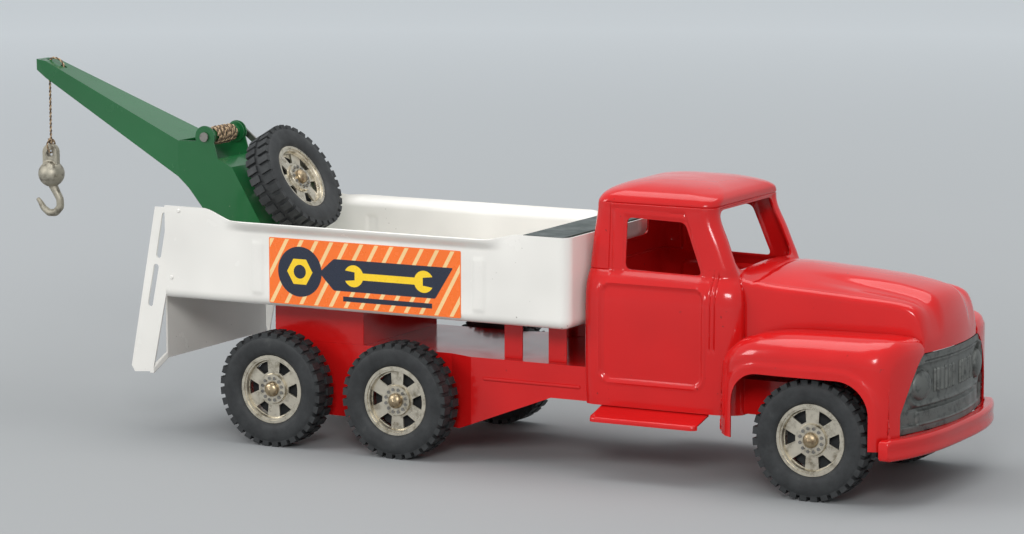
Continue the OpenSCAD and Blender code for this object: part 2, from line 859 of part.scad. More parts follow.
// Step below the door: a folded strip fixed to the cab's lower edge.
module running_board(side) {
  color(RED)
    mirror([0, side == LEFT ? 0 : 1, 0]) {
      translate([128, 57.3, 43.2])
        cube([72, 20.2, sheet]);
      translate([128, 76.3, 37])
        cube([72, sheet, 6.4]);
      translate([128, 57.3, 37])
        cube([72, sheet, 6.4]);
    }
}

module running_board_right() { running_board(RIGHT); }
module running_board_left() { running_board(LEFT); }

// ---------- Boom, winch and hook ----------

function boom_top(x) = 191.6 - (x + 212.8) * 0.4136;
function boom_low(x) = 170.8 - (x + 220.3) * 0.526;
function boom_half(x) = 7.5 + (x + 337) / (337 - 212.8) * (boom_half_width - 7.5);

function arm_ring(x, t) = [
  [x, boom_half(x) - t, boom_low(x) - 4 * t], [x, boom_half(x) - t, boom_top(x) - t],
  [x, t - boom_half(x), boom_top(x) - t], [x, t - boom_half(x), boom_low(x) - 4 * t]
];

module boom_arm() {
  difference() {
    union() {
      loft([arm_ring(-212.8, 0), arm_ring(-329, 0)]);
      loft([arm_ring(-329, 0),
        [[-337, 7, 233], [-337, 7.2, 240.5], [-337, -7.2, 240.5], [-337, -7, 233]]]);
    }
    loft([arm_ring(-210, sheet), arm_ring(-334, sheet)]);
  }
}

// Side plate of the mast with the ear that holds the winch shaft.
module mast_outline() {
  difference() {
    union() {
      polygon([
        [-212.8, 191.6], [-212.8, boom_low(-212.8)], [-204.4, 159.4], [-194.5, 147.5], [-181, 128],
        [-174, 110], [-172, bed_bottom_z + sheet], [-121.4, bed_bottom_z + sheet], [-170, 175.3], [-181.7, 180.7],
        [-185, 192], [-198, 192]
      ]);
      translate([winch_x, winch_z])
        circle(r = 7.5, $fn = 64);
    }
    translate([winch_x, winch_z])
      circle(r = axle_radius + run_clearance, $fn = 48);
  }
}

module boom_shell() {
  h = boom_half_width;
  floor_z = bed_bottom_z + sheet;
  color(GREEN) {
    difference() {
      boom_arm();
      for (x = [-319, string_x])
        translate([x, 0, 222])
          cylinder(h = 30, r = 2.2, $fn = 32);
    }
    for (y = [-h, h - sheet])
      across(y, y + sheet)
        mast_outline();
    // Front web that carries the spare wheel, the shoulder plate and the foot on the bed floor
    difference() {
      translate([-170, -h, 175.3])
        rotate([0, spare_tilt, 0])
          translate([-0.5, 0, -sheet])
            cube([94, 2 * h, sheet]);
      translate([-180, -h - 1, bed_bottom_z - 10])
        cube([80, 2 * h + 2, 10 + sheet]);
    }
    across(-h, h)
      polygon([[-181.7, 180.7], [-170, 175.3], [-170.5, 174.2], [-182.2, 179.6]]);
    difference() {
      translate([-172, -h - 7, floor_z])
        cube([52, 2 * h + 14, sheet]);
      translate([-166, -h + 8, floor_z - 1])
        cube([34, 2 * h - 16, sheet + 2]);
    }
  }
}

// Stub and spacer that hold the spare wheel off the front web.
module spare_stud() {
  web_depth = 36.1;
  color(NICKEL)
    on_spare_stud() {
      translate([0, 0, -web_depth])
        cylinder(h = web_depth - 1.6, r = axle_radius, $fn = 48);
      translate([0, 0, -web_depth])
        cylinder(h = web_depth - tyre_width - 0.5, r = 8, $fn = 48);
    }
}

module winch_shaft() {
  arm = 22;
  y_arm = boom_half_width + 9;
  color(NICKEL) {
    rod_y(winch_x, winch_z, -boom_half_width - 1, y_arm, axle_radius);
    translate([winch_x, y_arm, winch_z])
      rotate([0, 128, 0])
        translate([-axle_radius, -1.6, -axle_radius])
          cube([2 * axle_radius, 1.6, arm + 2 * axle_radius]);
    translate([winch_x, 0, winch_z])
      rotate([0, 128, 0])
        translate([0, y_arm + 11, arm])
          rotate([90, 0, 0])
            cylinder(h = 11.5, r = 2.6, $fn = 48);
    // Peened head outside the right-hand ear
    rod_y(winch_x, winch_z, -boom_half_width - 1.6, -boom_half_width - 0.3, 3.2);
  }
}

module winch_drum() {
  half = boom_half_width - sheet - 0.6;
  color(GREEN)
    difference() {
      union() {
        rod_y(winch_x, winch_z, -half, half, 4);
        rod_y(winch_x, winch_z, -half, 1.2 - half, 7);
        rod_y(winch_x, winch_z, half - 1.2, half, 7);
      }
      rod_y(winch_x, winch_z, -half - 1, half + 1, axle_radius);
    }
}

// String wound on the drum, as the closed outer shape of its turns.
module winch_string() {
  half = 13;
  color(TAN)
    translate([winch_x, 0, winch_z])
      rotate([90, 0, 0])
        difference() {
          rotate_extrude($fn = 64)
            polygon([[1, -half], [4.6, -half], [winding_radius, 2 - half], [winding_radius, half - 2], [4.6, half], [1, half]]);
          cylinder(h = 3 * half, r = 4, center = true, $fn = 48);
        }
}

// Points of the string from the drum, up inside the boom, over its tip and out of its underside.
boom_string_route = [
  [-200, 0, 187], [-215, 0, 188], [-240, 0, 197], [-265, 0, 207], [-290, 0, 218], [-308, 0, 225],
  [-316, 0, 229], [-319, 0, 233], [-319.4, 0, 236.6], [-321.6, 0, 239.8], [-325, 0, 241], [-329, 0, 241.2],
  [-330.8, 0, 239.4], [-331, 0, 235], [-331, 0, 227.2]
];
hanging_route = [for (i = [0:5]) [string_x, 0, string_top_z - i * (string_top_z - knot_z - 2.2) / 5]];

// Tube of eight sides swept along a route that stays in the centre plane.
module string_tube(route, r) {
  n = len(route);
  rings = [
    for (i = [0:n - 1])
      let (
        before = route[max(0, i - 1)],
        after = route[min(n - 1, i + 1)],
        way = (after - before) / norm(after - before),
        side = [0, 1, 0],
        up = cross(way, side)
      )
      [for (k = [0:7]) route[i] + r * cos(k * 45) * side + r * sin(k * 45) * up]
  ];
  loft([for (i = [n - 1:-1:0]) rings[i]]);
}

module boom_string() { color(TAN) string_tube(boom_string_route, string_diameter / 2); }
module hanging_string() { color(TAN) string_tube(hanging_route, string_diameter / 2); }

// Knot above the hook and the loop of string through its eye.
module string_knot() {
  loop_r = 4.6;
  color(TAN) {
    translate([string_x, 0, knot_z])
      rotate_extrude($fn = 32)
        polygon([[0, -2], [1.6, -1.6], [2.4, 0], [1.6, 1.6], [0, 2]]);
    translate([string_x, 0, hook_eye_z + loop_r])
      rotate([0, 90, 0])
        rotate_extrude($fn = 48)
          translate([loop_r, 0])
            circle(r = string_diameter / 2 - 0.1, $fn = 24);
  }
}

// Cast hook: flat eye, ball weight, shank and curved hook.
module crane_hook() {
  ball_r = 9.2;
  ball_z = 160;
  bend_r = 8.8;
  bend_x = string_x - 2.6;
  bend_z = 141;
  color([0.6, 0.57, 0.5])
    difference() {
      union() {
        translate([string_x, 0, ball_z])
          sphere(r = ball_r, $fn = 64);
        translate([string_x, 2.1, hook_eye_z + 0.4])
          rotate([90, 0, 0])
            cylinder(h = 4.2, r = 6, $fn = 48);
        translate([string_x - 4.2, -2.1, ball_z])
          cube([8.4, 4.2, hook_eye_z - ball_z]);
        translate([string_x + 0.6, 0, 148])
          cylinder(h = 8, r1 = 2.6, r2 = 3.4, $fn = 48);
        translate([bend_x, 0, bend_z])
          rotate([90, 0, 0])
            rotate([0, 0, -190])
              rotate_extrude(angle = 215, $fn = 72)
                translate([bend_r, 0])
                  circle(r = 2.5, $fn = 32);
        translate([string_x + 4.2, 0, 146.6])
          sphere(r = 3.2, $fn = 32);
      }
      translate([string_x, 5, hook_eye_z])
        rotate([90, 0, 0])
          cylinder(h = 10, r = 2.4, $fn = 48);
    }
}

chassis_frame();
rear_bolster();
bed_brackets();
front_axle();
middle_axle();
rear_axle();
bed_box();
bed_rivets();
deck_plate();
rear_apron();
side_label_right();
side_label_left();
cab_body();
cab_roof();
hood();
fender_right();
fender_left();
grille();
bumper();
running_board_right();
running_board_left();
boom_shell();
spare_stud();
winch_shaft();
winch_drum();
winch_string();
boom_string();
hanging_string();
string_knot();
crane_hook();
spare_tyre();
spare_rim();
spare_cap();
tyre_front_right();
tyre_middle_right();
tyre_rear_right();
tyre_front_left();
tyre_middle_left();
tyre_rear_left();
rim_front_right();
rim_middle_right();
rim_rear_right();
rim_front_left();
rim_middle_left();
rim_rear_left();
caps_front();
caps_middle();
caps_rear();
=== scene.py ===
"""Looks of the toy crane truck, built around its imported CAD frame. Metres, +X forwards, +Z up."""
import math

import bmesh
import bpy
import numpy as np
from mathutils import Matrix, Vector


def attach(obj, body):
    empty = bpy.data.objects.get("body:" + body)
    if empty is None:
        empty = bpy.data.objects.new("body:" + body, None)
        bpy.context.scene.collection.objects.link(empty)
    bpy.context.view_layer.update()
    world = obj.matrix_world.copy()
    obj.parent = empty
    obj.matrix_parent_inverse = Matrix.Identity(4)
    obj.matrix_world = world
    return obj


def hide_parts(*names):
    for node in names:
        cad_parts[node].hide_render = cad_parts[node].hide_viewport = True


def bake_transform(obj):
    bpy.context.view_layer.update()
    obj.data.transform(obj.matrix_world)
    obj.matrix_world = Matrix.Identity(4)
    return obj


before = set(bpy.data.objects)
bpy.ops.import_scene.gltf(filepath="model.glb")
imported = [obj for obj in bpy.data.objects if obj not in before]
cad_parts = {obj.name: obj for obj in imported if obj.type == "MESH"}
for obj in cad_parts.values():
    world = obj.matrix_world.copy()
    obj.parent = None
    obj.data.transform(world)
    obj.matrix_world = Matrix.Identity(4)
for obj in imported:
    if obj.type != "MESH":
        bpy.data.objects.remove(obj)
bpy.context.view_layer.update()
MM = 0.001
SIDES = (("right", -1), ("left", 1))
SHEET = 1.2


def at(x, y, z):
    """A point given in millimetres, in metres."""
    return Vector((x * MM, y * MM, z * MM))


# ---------- Camera ----------

def make_camera():
    azimuth, elevation, distance = math.radians(27.78), math.radians(8.3), 2.6087
    target = at(31.9, 0, 118.8)
    back = Vector((
        math.sin(azimuth) * math.cos(elevation),
        -math.cos(azimuth) * math.cos(elevation),
        math.sin(elevation),
    ))
    data = bpy.data.cameras.new("camera")
    data.sensor_width = 36
    data.lens = 139.67
    data.clip_start, data.clip_end = 0.05, 30
    camera = bpy.data.objects.new("camera", data)
    camera.location = target + back * distance
    camera.rotation_euler = (-back).to_track_quat("-Z", "Y").to_euler()
    bpy.context.scene.collection.objects.link(camera)
    bpy.context.scene.camera = camera


make_camera()


# ---------- Materials ----------

class Paint:
    """A Principled material whose varying inputs come from noise in the piece's own coordinates."""

    def __init__(self, name, rough=0.3, metal=0.0, coat=0.0, coat_rough=0.05, specular=0.5, sheen=0.0):
        self.material = bpy.data.materials.new(name)
        self.material.use_nodes = True
        self.nodes = self.material.node_tree.nodes
        self.links = self.material.node_tree.links
        self.shader = self.nodes["Principled BSDF"]
        for socket, value in (
            ("Roughness", rough), ("Metallic", metal), ("Coat Weight", coat), ("Coat Roughness", coat_rough),
            ("Specular IOR Level", specular), ("Sheen Weight", sheen),
        ):
            self.shader.inputs[socket].default_value = value
        self.place = self.nodes.new("ShaderNodeTexCoord").outputs["Object"]

    def noise(self, scale, detail=3.0, rough=0.55):
        node = self.nodes.new("ShaderNodeTexNoise")
        node.inputs["Scale"].default_value = scale
        node.inputs["Detail"].default_value = detail
        node.inputs["Roughness"].default_value = rough
        self.links.new(self.place, node.inputs["Vector"])
        return node.outputs["Fac"]

    def ramp(self, source, stops):
        node = self.nodes.new("ShaderNodeValToRGB")
        elements = node.color_ramp.elements
        while len(elements) < len(stops):
            elements.new(0.5)
        for element, (position, value) in zip(elements, stops):
            element.position = position
            element.color = (*value, 1) if hasattr(value, "__len__") else (value, value, value, 1)
        self.links.new(source, node.inputs["Fac"])
        return node.outputs["Color"]

    def mix(self, factor, a, b):
        node = self.nodes.new("ShaderNodeMix")
        node.data_type = "RGBA"
        for socket, value in ((0, factor), (6, a), (7, b)):
            if isinstance(value, bpy.types.NodeSocket):
                self.links.new(value, node.inputs[socket])
            else:
                node.inputs[socket].default_value = (*value, 1)
        return node.outputs[2]

    def times(self, a, b):
        node = self.nodes.new("ShaderNodeMath")
        node.operation = "MULTIPLY"
        for socket, value in ((0, a), (1, b)):
            if isinstance(value, bpy.types.NodeSocket):
                self.links.new(value, node.inputs[socket])
            else:
                node.inputs[socket].default_value = value
        return node.outputs[0]

    def colour(self, source):
        self.links.new(source, self.shader.inputs["Base Color"])

    def roughness(self, source):
        self.links.new(source, self.shader.inputs["Roughness"])

    def bump(self, source, depth, strength=1.0):
        node = self.nodes.new("ShaderNodeBump")
        node.inputs["Distance"].default_value = depth
        node.inputs["Strength"].default_value = strength
        self.links.new(source, node.inputs["Height"])
        self.links.new(node.outputs["Normal"], self.shader.inputs["Normal"])


def shade(base, share):
    """A colour made paler or darker by a share."""
    return tuple(min(1, share * c) for c in base)


def enamel(name, base, chip, spots=0.735, rough=0.16):
    """Glossy stoved enamel: slow colour drift, small chips and faint orange peel."""
    p = Paint(name, rough, coat=0.2, coat_rough=0.04, specular=0.36)
    drift = p.ramp(p.noise(14, 2), [(0.3, shade(base, 0.9)), (0.7, shade(base, 1.07))])
    specks = p.ramp(p.noise(420, 2, 0.5), [(spots, 0.0), (spots + 0.02, 1.0)])
    patches = p.ramp(p.noise(30, 2), [(0.45, 0.0), (0.6, 1.0)])
    p.colour(p.mix(p.times(specks, patches), drift, chip))
    p.roughness(p.ramp(p.noise(60, 4), [(0.3, rough * 0.75), (0.75, rough * 1.5)]))
    p.bump(p.noise(380, 1), 0.00004, 0.35)
    return p.material


def plated(name, dark, light, rough=0.26, grain=700):
    """Dull plated or cast metal: tarnish in patches and fine pitting."""
    p = Paint(name, rough, metal=0.9, specular=0.5)
    p.colour(p.ramp(p.noise(180, 5, 0.65), [(0.3, dark), (0.5, light), (0.75, shade(light, 1.12))]))
    p.roughness(p.ramp(p.noise(90, 4), [(0.3, rough * 0.8), (0.75, min(1, rough * 1.7))]))
    p.bump(p.noise(grain, 3), 0.00012, 0.35)
    return p.material


def rubber(name):
    p = Paint(name, 0.62, specular=0.35)
    dust = p.ramp(p.noise(90, 5, 0.7), [(0.35, (0.020, 0.021, 0.022)), (0.62, (0.034, 0.036, 0.037)),
                                        (0.8, (0.062, 0.063, 0.06))])
    p.colour(dust)
    p.roughness(p.ramp(p.noise(120, 3), [(0.3, 0.5), (0.7, 0.72)]))
    p.bump(p.noise(900, 3), 0.0001, 0.5)
    return p.material


def twine(name, light, dark):
    p = Paint(name, 0.85, sheen=0.25, specular=0.25)
    p.colour(p.ramp(p.noise(900, 3, 0.6), [(0.35, dark), (0.55, light)]))
    p.bump(p.noise(2600, 2), 0.0001, 0.6)
    return p.material


def print_ink(name, base, rough=0.22):
    p = Paint(name, rough, coat=0.35, coat_rough=0.1)
    p.colour(p.ramp(p.noise(45, 4), [(0.35, shade(base, 0.93)), (0.65, base)]))
    p.roughness(p.ramp(p.noise(140, 3), [(0.3, rough * 0.8), (0.7, rough * 1.5)]))
    p.bump(p.noise(260, 2), 0.00003, 0.3)
    return p.material


MAT = {
    "red": enamel("red_enamel", (0.56, 0.008, 0.008), (0.10, 0.012, 0.01)),
    "white": enamel("white_enamel", (0.80, 0.775, 0.725), (0.10, 0.08, 0.06), 0.75, 0.2),
    "green": enamel("green_enamel", (0.010, 0.105, 0.030), (0.5, 0.47, 0.38), 0.76, 0.2),
    "dark_green": enamel("dark_green_enamel", (0.004, 0.018, 0.012), (0.1, 0.09, 0.07), 0.76, 0.42),
    "rubber": rubber("tyre_rubber"),
    "rim": plated("plated_rim", (0.30, 0.26, 0.19), (0.62, 0.57, 0.47), 0.27),
    "bronze": plated("bronze_cap", (0.14, 0.09, 0.05), (0.42, 0.33, 0.21), 0.28),
    "steel": plated("steel_rod", (0.09, 0.085, 0.075), (0.25, 0.24, 0.22), 0.36),
    "grille": plated("grille_metal", (0.06, 0.063, 0.06), (0.17, 0.175, 0.165), 0.42),
    "hook": plated("hook_casting", (0.15, 0.13, 0.1), (0.4, 0.37, 0.3), 0.45, 420),
    "twine": twine("twine_light", (0.5, 0.36, 0.22), (0.24, 0.15, 0.08)),
    "twine_dark": twine("twine_dark", (0.13, 0.08, 0.045), (0.045, 0.03, 0.018)),
    "orange": print_ink("label_orange", (0.95, 0.17, 0.012)),
    "cream": print_ink("label_cream", (0.93, 0.62, 0.28)),
    "navy": print_ink("label_navy", (0.008, 0.014, 0.035)),
    "yellow": print_ink("label_yellow", (0.95, 0.62, 0.01)),
}
NODE_LOOK = {}
for look, names in {
    "red": "chassis_frame rear_bolster bed_brackets cab_body cab_roof hood fender_right fender_left bumper "
           "running_board_right running_board_left",
    "white": "bed_box bed_rivets rear_apron",
    "dark_green": "deck_plate",
    "green": "boom_shell winch_drum",
    "steel": "front_axle middle_axle rear_axle spare_stud winch_shaft",
    "grille": "grille",
    "bronze": "caps_front caps_middle caps_rear spare_cap",
    "twine": "winch_string boom_string hanging_string string_knot",
    "hook": "crane_hook",
    "orange": "side_label_right side_label_left",
    "rubber": "spare_tyre",
    "rim": "spare_rim",
}.items():
    for name in names.split():
        NODE_LOOK[name] = look
for place in ("front", "middle", "rear"):
    for side, _ in SIDES:
        NODE_LOOK[f"tyre_{place}_{side}"] = "rubber"
        NODE_LOOK[f"rim_{place}_{side}"] = "rim"


def dress_cad_nodes():
    """Materials on every CAD node, and softened edges on those that stay in view."""
    for name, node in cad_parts.items():
        node.data.materials.clear()
        node.data.materials.append(MAT[NODE_LOOK[name]])
        weld = node.modifiers.new("weld", "WELD")
        weld.merge_threshold = 0.00001
        bevel = node.modifiers.new("bevel", "BEVEL")
        bevel.width = (0.8 if name == "boom_shell" else 0.25) * MM
        bevel.segments = 2
        bevel.limit_method = "ANGLE"
        bevel.angle_limit = math.radians(38)
        bevel.harden_normals = True


dress_cad_nodes()


# ---------- Mesh helpers ----------


def ease(t):
    t = np.clip(t, 0, 1)
    return t * t * (3 - 2 * t)


def curve_through(x, y, q):
    """Monotone cubic through (x, y), read at q. It never overshoots its points."""
    x, y, q = (np.asarray(v, float) for v in (x, y, q))
    h = np.diff(x)
    d = np.diff(y) / h
    slope = np.zeros_like(y)
    slope[0], slope[-1] = d[0], d[-1]
    a, b = 2 * h[1:] + h[:-1], h[1:] + 2 * h[:-1]
    same = d[:-1] * d[1:] > 0
    safe = np.where(same, d[:-1], 1), np.where(same, d[1:], 1)
    slope[1:-1] = np.where(same, (a + b) / (a / safe[0] + b / safe[1]), 0)
    i = np.clip(np.searchsorted(x, q) - 1, 0, len(h) - 1)
    t = (q - x[i]) / h[i]
    return (
        y[i] * (1 + 2 * t) * (1 - t) ** 2 + h[i] * slope[i] * t * (1 - t) ** 2
        + y[i + 1] * t * t * (3 - 2 * t) + h[i] * slope[i + 1] * t * t * (t - 1)
    )


def blend_stations(stations, along, count):
    """Rows of a station table at count even steps along the line drawn by its two columns named in along."""
    table = np.array(stations, float)
    steps = np.hypot(*(np.diff(table[:, c]) for c in along))
    travelled = np.concatenate([[0], np.cumsum(steps)])
    even = np.linspace(0, travelled[-1], count)
    return np.stack([curve_through(travelled, table[:, c], even) for c in range(table.shape[1])], 1)


def resample(line, count):
    """A polyline's points at count even steps of its length."""
    line = np.asarray(line, float)
    travelled = np.concatenate([[0], np.cumsum(np.linalg.norm(np.diff(line, axis=0), axis=1))])
    even = np.linspace(0, travelled[-1], count)
    return np.stack([np.interp(even, travelled, line[:, c]) for c in range(line.shape[1])], 1)


def polygon_distance(px, py, corners):
    """Distance from points to a polygon's outline, negative inside it."""
    best = np.full(np.shape(px), 1e9)
    inside = np.zeros(np.shape(px), bool)
    n = len(corners)
    for i in range(n):
        ax, ay = corners[i]
        bx, by = corners[(i + 1) % n]
        ex, ey = bx - ax, by - ay
        t = np.clip(((px - ax) * ex + (py - ay) * ey) / (ex * ex + ey * ey), 0, 1)
        best = np.minimum(best, np.hypot(px - ax - t * ex, py - ay - t * ey))
        crosses = (ay > py) != (by > py)
        inside ^= crosses & (px < ax + (py - ay) * ex / (ey if ey else 1e-9))
    return np.where(inside, -best, best)


def box_distance(px, py, low, high, corner):
    """Distance from points to a rectangle with rounded corners, negative inside it."""
    qx = np.abs(px - (low[0] + high[0]) / 2) - (high[0] - low[0]) / 2 + corner
    qy = np.abs(py - (low[1] + high[1]) / 2) - (high[1] - low[1]) / 2 + corner
    return np.hypot(np.maximum(qx, 0), np.maximum(qy, 0)) + np.minimum(np.maximum(qx, qy), 0) - corner


class Sheet:
    """Collects grids of points, in millimetres, into one mesh."""

    def __init__(self):
        self.points, self.faces = [], []

    def grid(self, rows, around=False, flip=False, keep=None):
        rows = np.asarray(rows, float)
        r, c = rows.shape[:2]
        first = len(self.points)
        self.points += [tuple(p) for p in rows.reshape(-1, 3)]
        for i in range(r - 1):
            for j in range(c if around else c - 1):
                k = (j + 1) % c
                near, far = first + i * c, first + (i + 1) * c
                face = (near + j, near + k, far + k, far + j)
                if keep is None or keep[i, j]:
                    self.faces.append(face[::-1] if flip else face)
        return self

    def cap(self, ring, flip=False):
        first = len(self.points)
        self.points += [tuple(p) for p in ring]
        face = tuple(range(first, first + len(ring)))
        self.faces.append(face[::-1] if flip else face)
        return self

    def build(self, name, merge=0.02, mirror=False):
        """The collected faces as an object, built at the other side of the centre plane if mirror is set."""
        bm = bmesh.new()
        way = -1 if mirror else 1
        verts = [bm.verts.new((x * MM, way * y * MM, z * MM)) for x, y, z in self.points]
        for face in self.faces:
            if len(set(face)) > 2:
                bm.faces.new([verts[i] for i in (face[::-1] if mirror else face)])
        bmesh.ops.remove_doubles(bm, verts=bm.verts, dist=merge * MM)
        loose = [v for v in bm.verts if not v.link_faces]
        bmesh.ops.delete(bm, geom=loose, context="VERTS")
        bmesh.ops.dissolve_degenerate(bm, dist=0.001 * MM, edges=bm.edges)
        for face in bm.faces:
            face.smooth = True
        mesh = bpy.data.meshes.new(name)
        bm.to_mesh(mesh)
        bm.free()
        piece = bpy.data.objects.new(name, mesh)
        bpy.context.scene.collection.objects.link(piece)
        return piece


def apply_modifiers(piece):
    """Bakes a piece's modifiers into its mesh."""
    dg = bpy.context.evaluated_depsgraph_get()
    mesh = bpy.data.meshes.new_from_object(piece.evaluated_get(dg))
    piece.modifiers.clear()
    piece.data = mesh
    return piece


def thicken(piece, thickness):
    """Gives a sheet its thickness, on the side away from its normals."""
    solid = piece.modifiers.new("solid", "SOLIDIFY")
    solid.thickness = thickness * MM
    solid.offset = -1
    return apply_modifiers(piece)


def face_outwards(piece):
    """Turns all of a closed piece's faces outwards."""
    bm = bmesh.new()
    bm.from_mesh(piece.data)
    bmesh.ops.recalc_face_normals(bm, faces=bm.faces)
    bm.to_mesh(piece.data)
    bm.free()
    return piece


def prism(outline, axis, low, high):
    """Closed prism of an outline in mm: axis "y" takes (x, z) points, axis "x" takes (y, z) points."""
    def place(p, depth):
        return (p[0], depth, p[1]) if axis == "y" else (depth, p[0], p[1])
    sheet = Sheet()
    near = [place(p, low) for p in outline]
    far = [place(p, high) for p in outline]
    n = len(outline)
    sheet.points = near + far
    sheet.faces = [tuple(range(n)), tuple(range(2 * n - 1, n - 1, -1))]
    sheet.faces += [(i, i + n, (i + 1) % n + n, (i + 1) % n) for i in range(n)]
    return face_outwards(sheet.build("cutter", merge=0.001))


def rounded(corners, radius, steps=6):
    """Outline with each corner replaced by a smooth bend."""
    out = []
    n = len(corners)
    for i in range(n):
        p0, p1, p2 = (np.array(corners[(i + k - 1) % n], float) for k in range(3))
        a = p1 + (p0 - p1) / np.linalg.norm(p0 - p1) * radius
        b = p1 + (p2 - p1) / np.linalg.norm(p2 - p1) * radius
        for s in range(steps + 1):
            t = s / steps
            out.append(tuple((1 - t) ** 2 * a + 2 * t * (1 - t) * p1 + t * t * b))
    return out


def cut(piece, *cutters):
    """Takes closed cutters out of a solid piece and removes them."""
    for cutter in cutters:
        gap = piece.modifiers.new("cut", "BOOLEAN")
        gap.operation = "DIFFERENCE"
        gap.solver = "EXACT"
        gap.object = cutter
    apply_modifiers(piece)
    for cutter in cutters:
        bpy.data.objects.remove(cutter)
    return piece


def smooth_by_angle(piece, degrees):
    for polygon in piece.data.polygons:
        polygon.use_smooth = True
    piece.data.set_sharp_from_angle(angle=math.radians(degrees))
    return piece


def finish_piece(piece, look, body, *nodes, sharp=38):
    """Material, body and the CAD nodes that the piece stands for."""
    if sharp:
        smooth_by_angle(piece, sharp)
    if not piece.data.materials:
        piece.data.materials.append(MAT[look])
    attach(piece, body)
    if nodes:
        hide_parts(*nodes)
    return piece


# ---------- Cab ----------

SIDE_WINDOW = [(141, 131.8), (194.5, 131), (181.5, 163.6), (141, 164.6)]
WINDSHIELD = [(-42.5, 134.2), (42.5, 134.2), (40, 171), (-40, 171)]
REAR_WINDOW = [(-30, 143), (30, 143), (26, 168), (-26, 168)]
BELT_Z, DRIP_Z, PILLAR_X = 131, 173.5, 129.5
DOOR_SEAMS = (203.2, 206.4)

# Height, back, front, half width, back corner radius, front corner depth and width.
CAB_STATIONS = [
    (44.5, 113.8, 222.5, 59.5, 8, 22, 10), (52, 113.8, 222.5, 60.4, 8, 22, 10),
    (90, 113.8, 222.5, 61.6, 8, 22, 10),
    (112, 113.8, 222.4, 61.4, 8, 22, 10), (120, 113.8, 221.6, 60.4, 8, 22, 10),
    (126, 113.8, 219.6, 58, 8, 20, 10),
    (131, 113.8, 216.6, 54.7, 8, 14, 9), (136, 114.2, 214.4, 54.2, 8, 10, 8),
    (150, 115.5, 208.6, 53.2, 8, 8, 8),
    (171, 117.5, 201, 52, 9, 9, 9), (173.5, 117.5, 201.4, 52.2, 10, 10, 10),
    (177.5, 118.8, 202, 50.6, 12, 12, 12),
    (180.5, 121.5, 200, 47.5, 15, 15, 15), (183, 126.5, 195, 42, 18, 18, 18), (185, 133, 187, 34, 18, 18, 18),
    (186.4, 143, 175, 22, 12, 12, 12),
]


def cab_half_ring(row):
    """Points from the middle of the back round the left side to the middle of the front, at one height."""
    z, back, front, half, back_r, front_rx, front_ry = row
    turn = np.linspace(0, np.pi / 2, 15)
    front_turn = np.linspace(0, np.pi / 2, 64)
    pillar = min(max(PILLAR_X, back + back_r + 1), front - front_rx - 2)
    groove = 0.45
    straight = np.concatenate([
        np.linspace(back + back_r, pillar - groove, 6)[1:], [pillar],
        np.linspace(pillar + groove, front - front_rx, 90)[:-1],
    ])
    parts = [
        np.stack([np.full(36, back), np.linspace(0, half - back_r, 36)], 1)[:-1],
        np.stack([back + back_r - back_r * np.cos(turn), half - back_r + back_r * np.sin(turn)], 1),
    ]
    parts.append(np.stack([straight, np.full(len(straight), half)], 1))
    parts.append(np.stack([
        front - front_rx + front_rx * np.sin(front_turn), half - front_ry + front_ry * np.cos(front_turn)
    ], 1))
    parts.append(np.stack([np.full(36, front), np.linspace(half - front_ry, 0, 36)], 1)[1:])
    plan = np.concatenate(parts)
    return np.column_stack([plan, np.full(len(plan), z)])


def cab_press(x, y, z, facing):
    """How far the pressing stands in (negative) or out of the plain skin, in mm. facing is 1 on the sides."""
    panel = box_distance(x, z, (127.5, 62), (197.5, 122), 6)
    out = -1.7 * (1 - ease(panel / 2.2 + 0.5))
    out += 0.7 * np.exp(-((panel - 1.9) / 0.9) ** 2)
    window = polygon_distance(x, z, SIDE_WINDOW)
    out -= 0.9 * (1 - ease((window - 0.2) / 2.4)) * (z > BELT_Z - 4)
    frame_line = polygon_distance(x, z, [(131.6, 120), (131.6, 169.8), (181, 169), (200, 120)])
    out -= 0.7 * np.exp(-(frame_line / 0.8) ** 2) * ease((z - 128) / 3) * (x < 186)
    for seam in DOOR_SEAMS:
        out -= 0.9 * np.exp(-((x - seam) / 0.55) ** 2) * ease((z - 84) / 2) * ease((134 - z) / 2)
    return out * facing


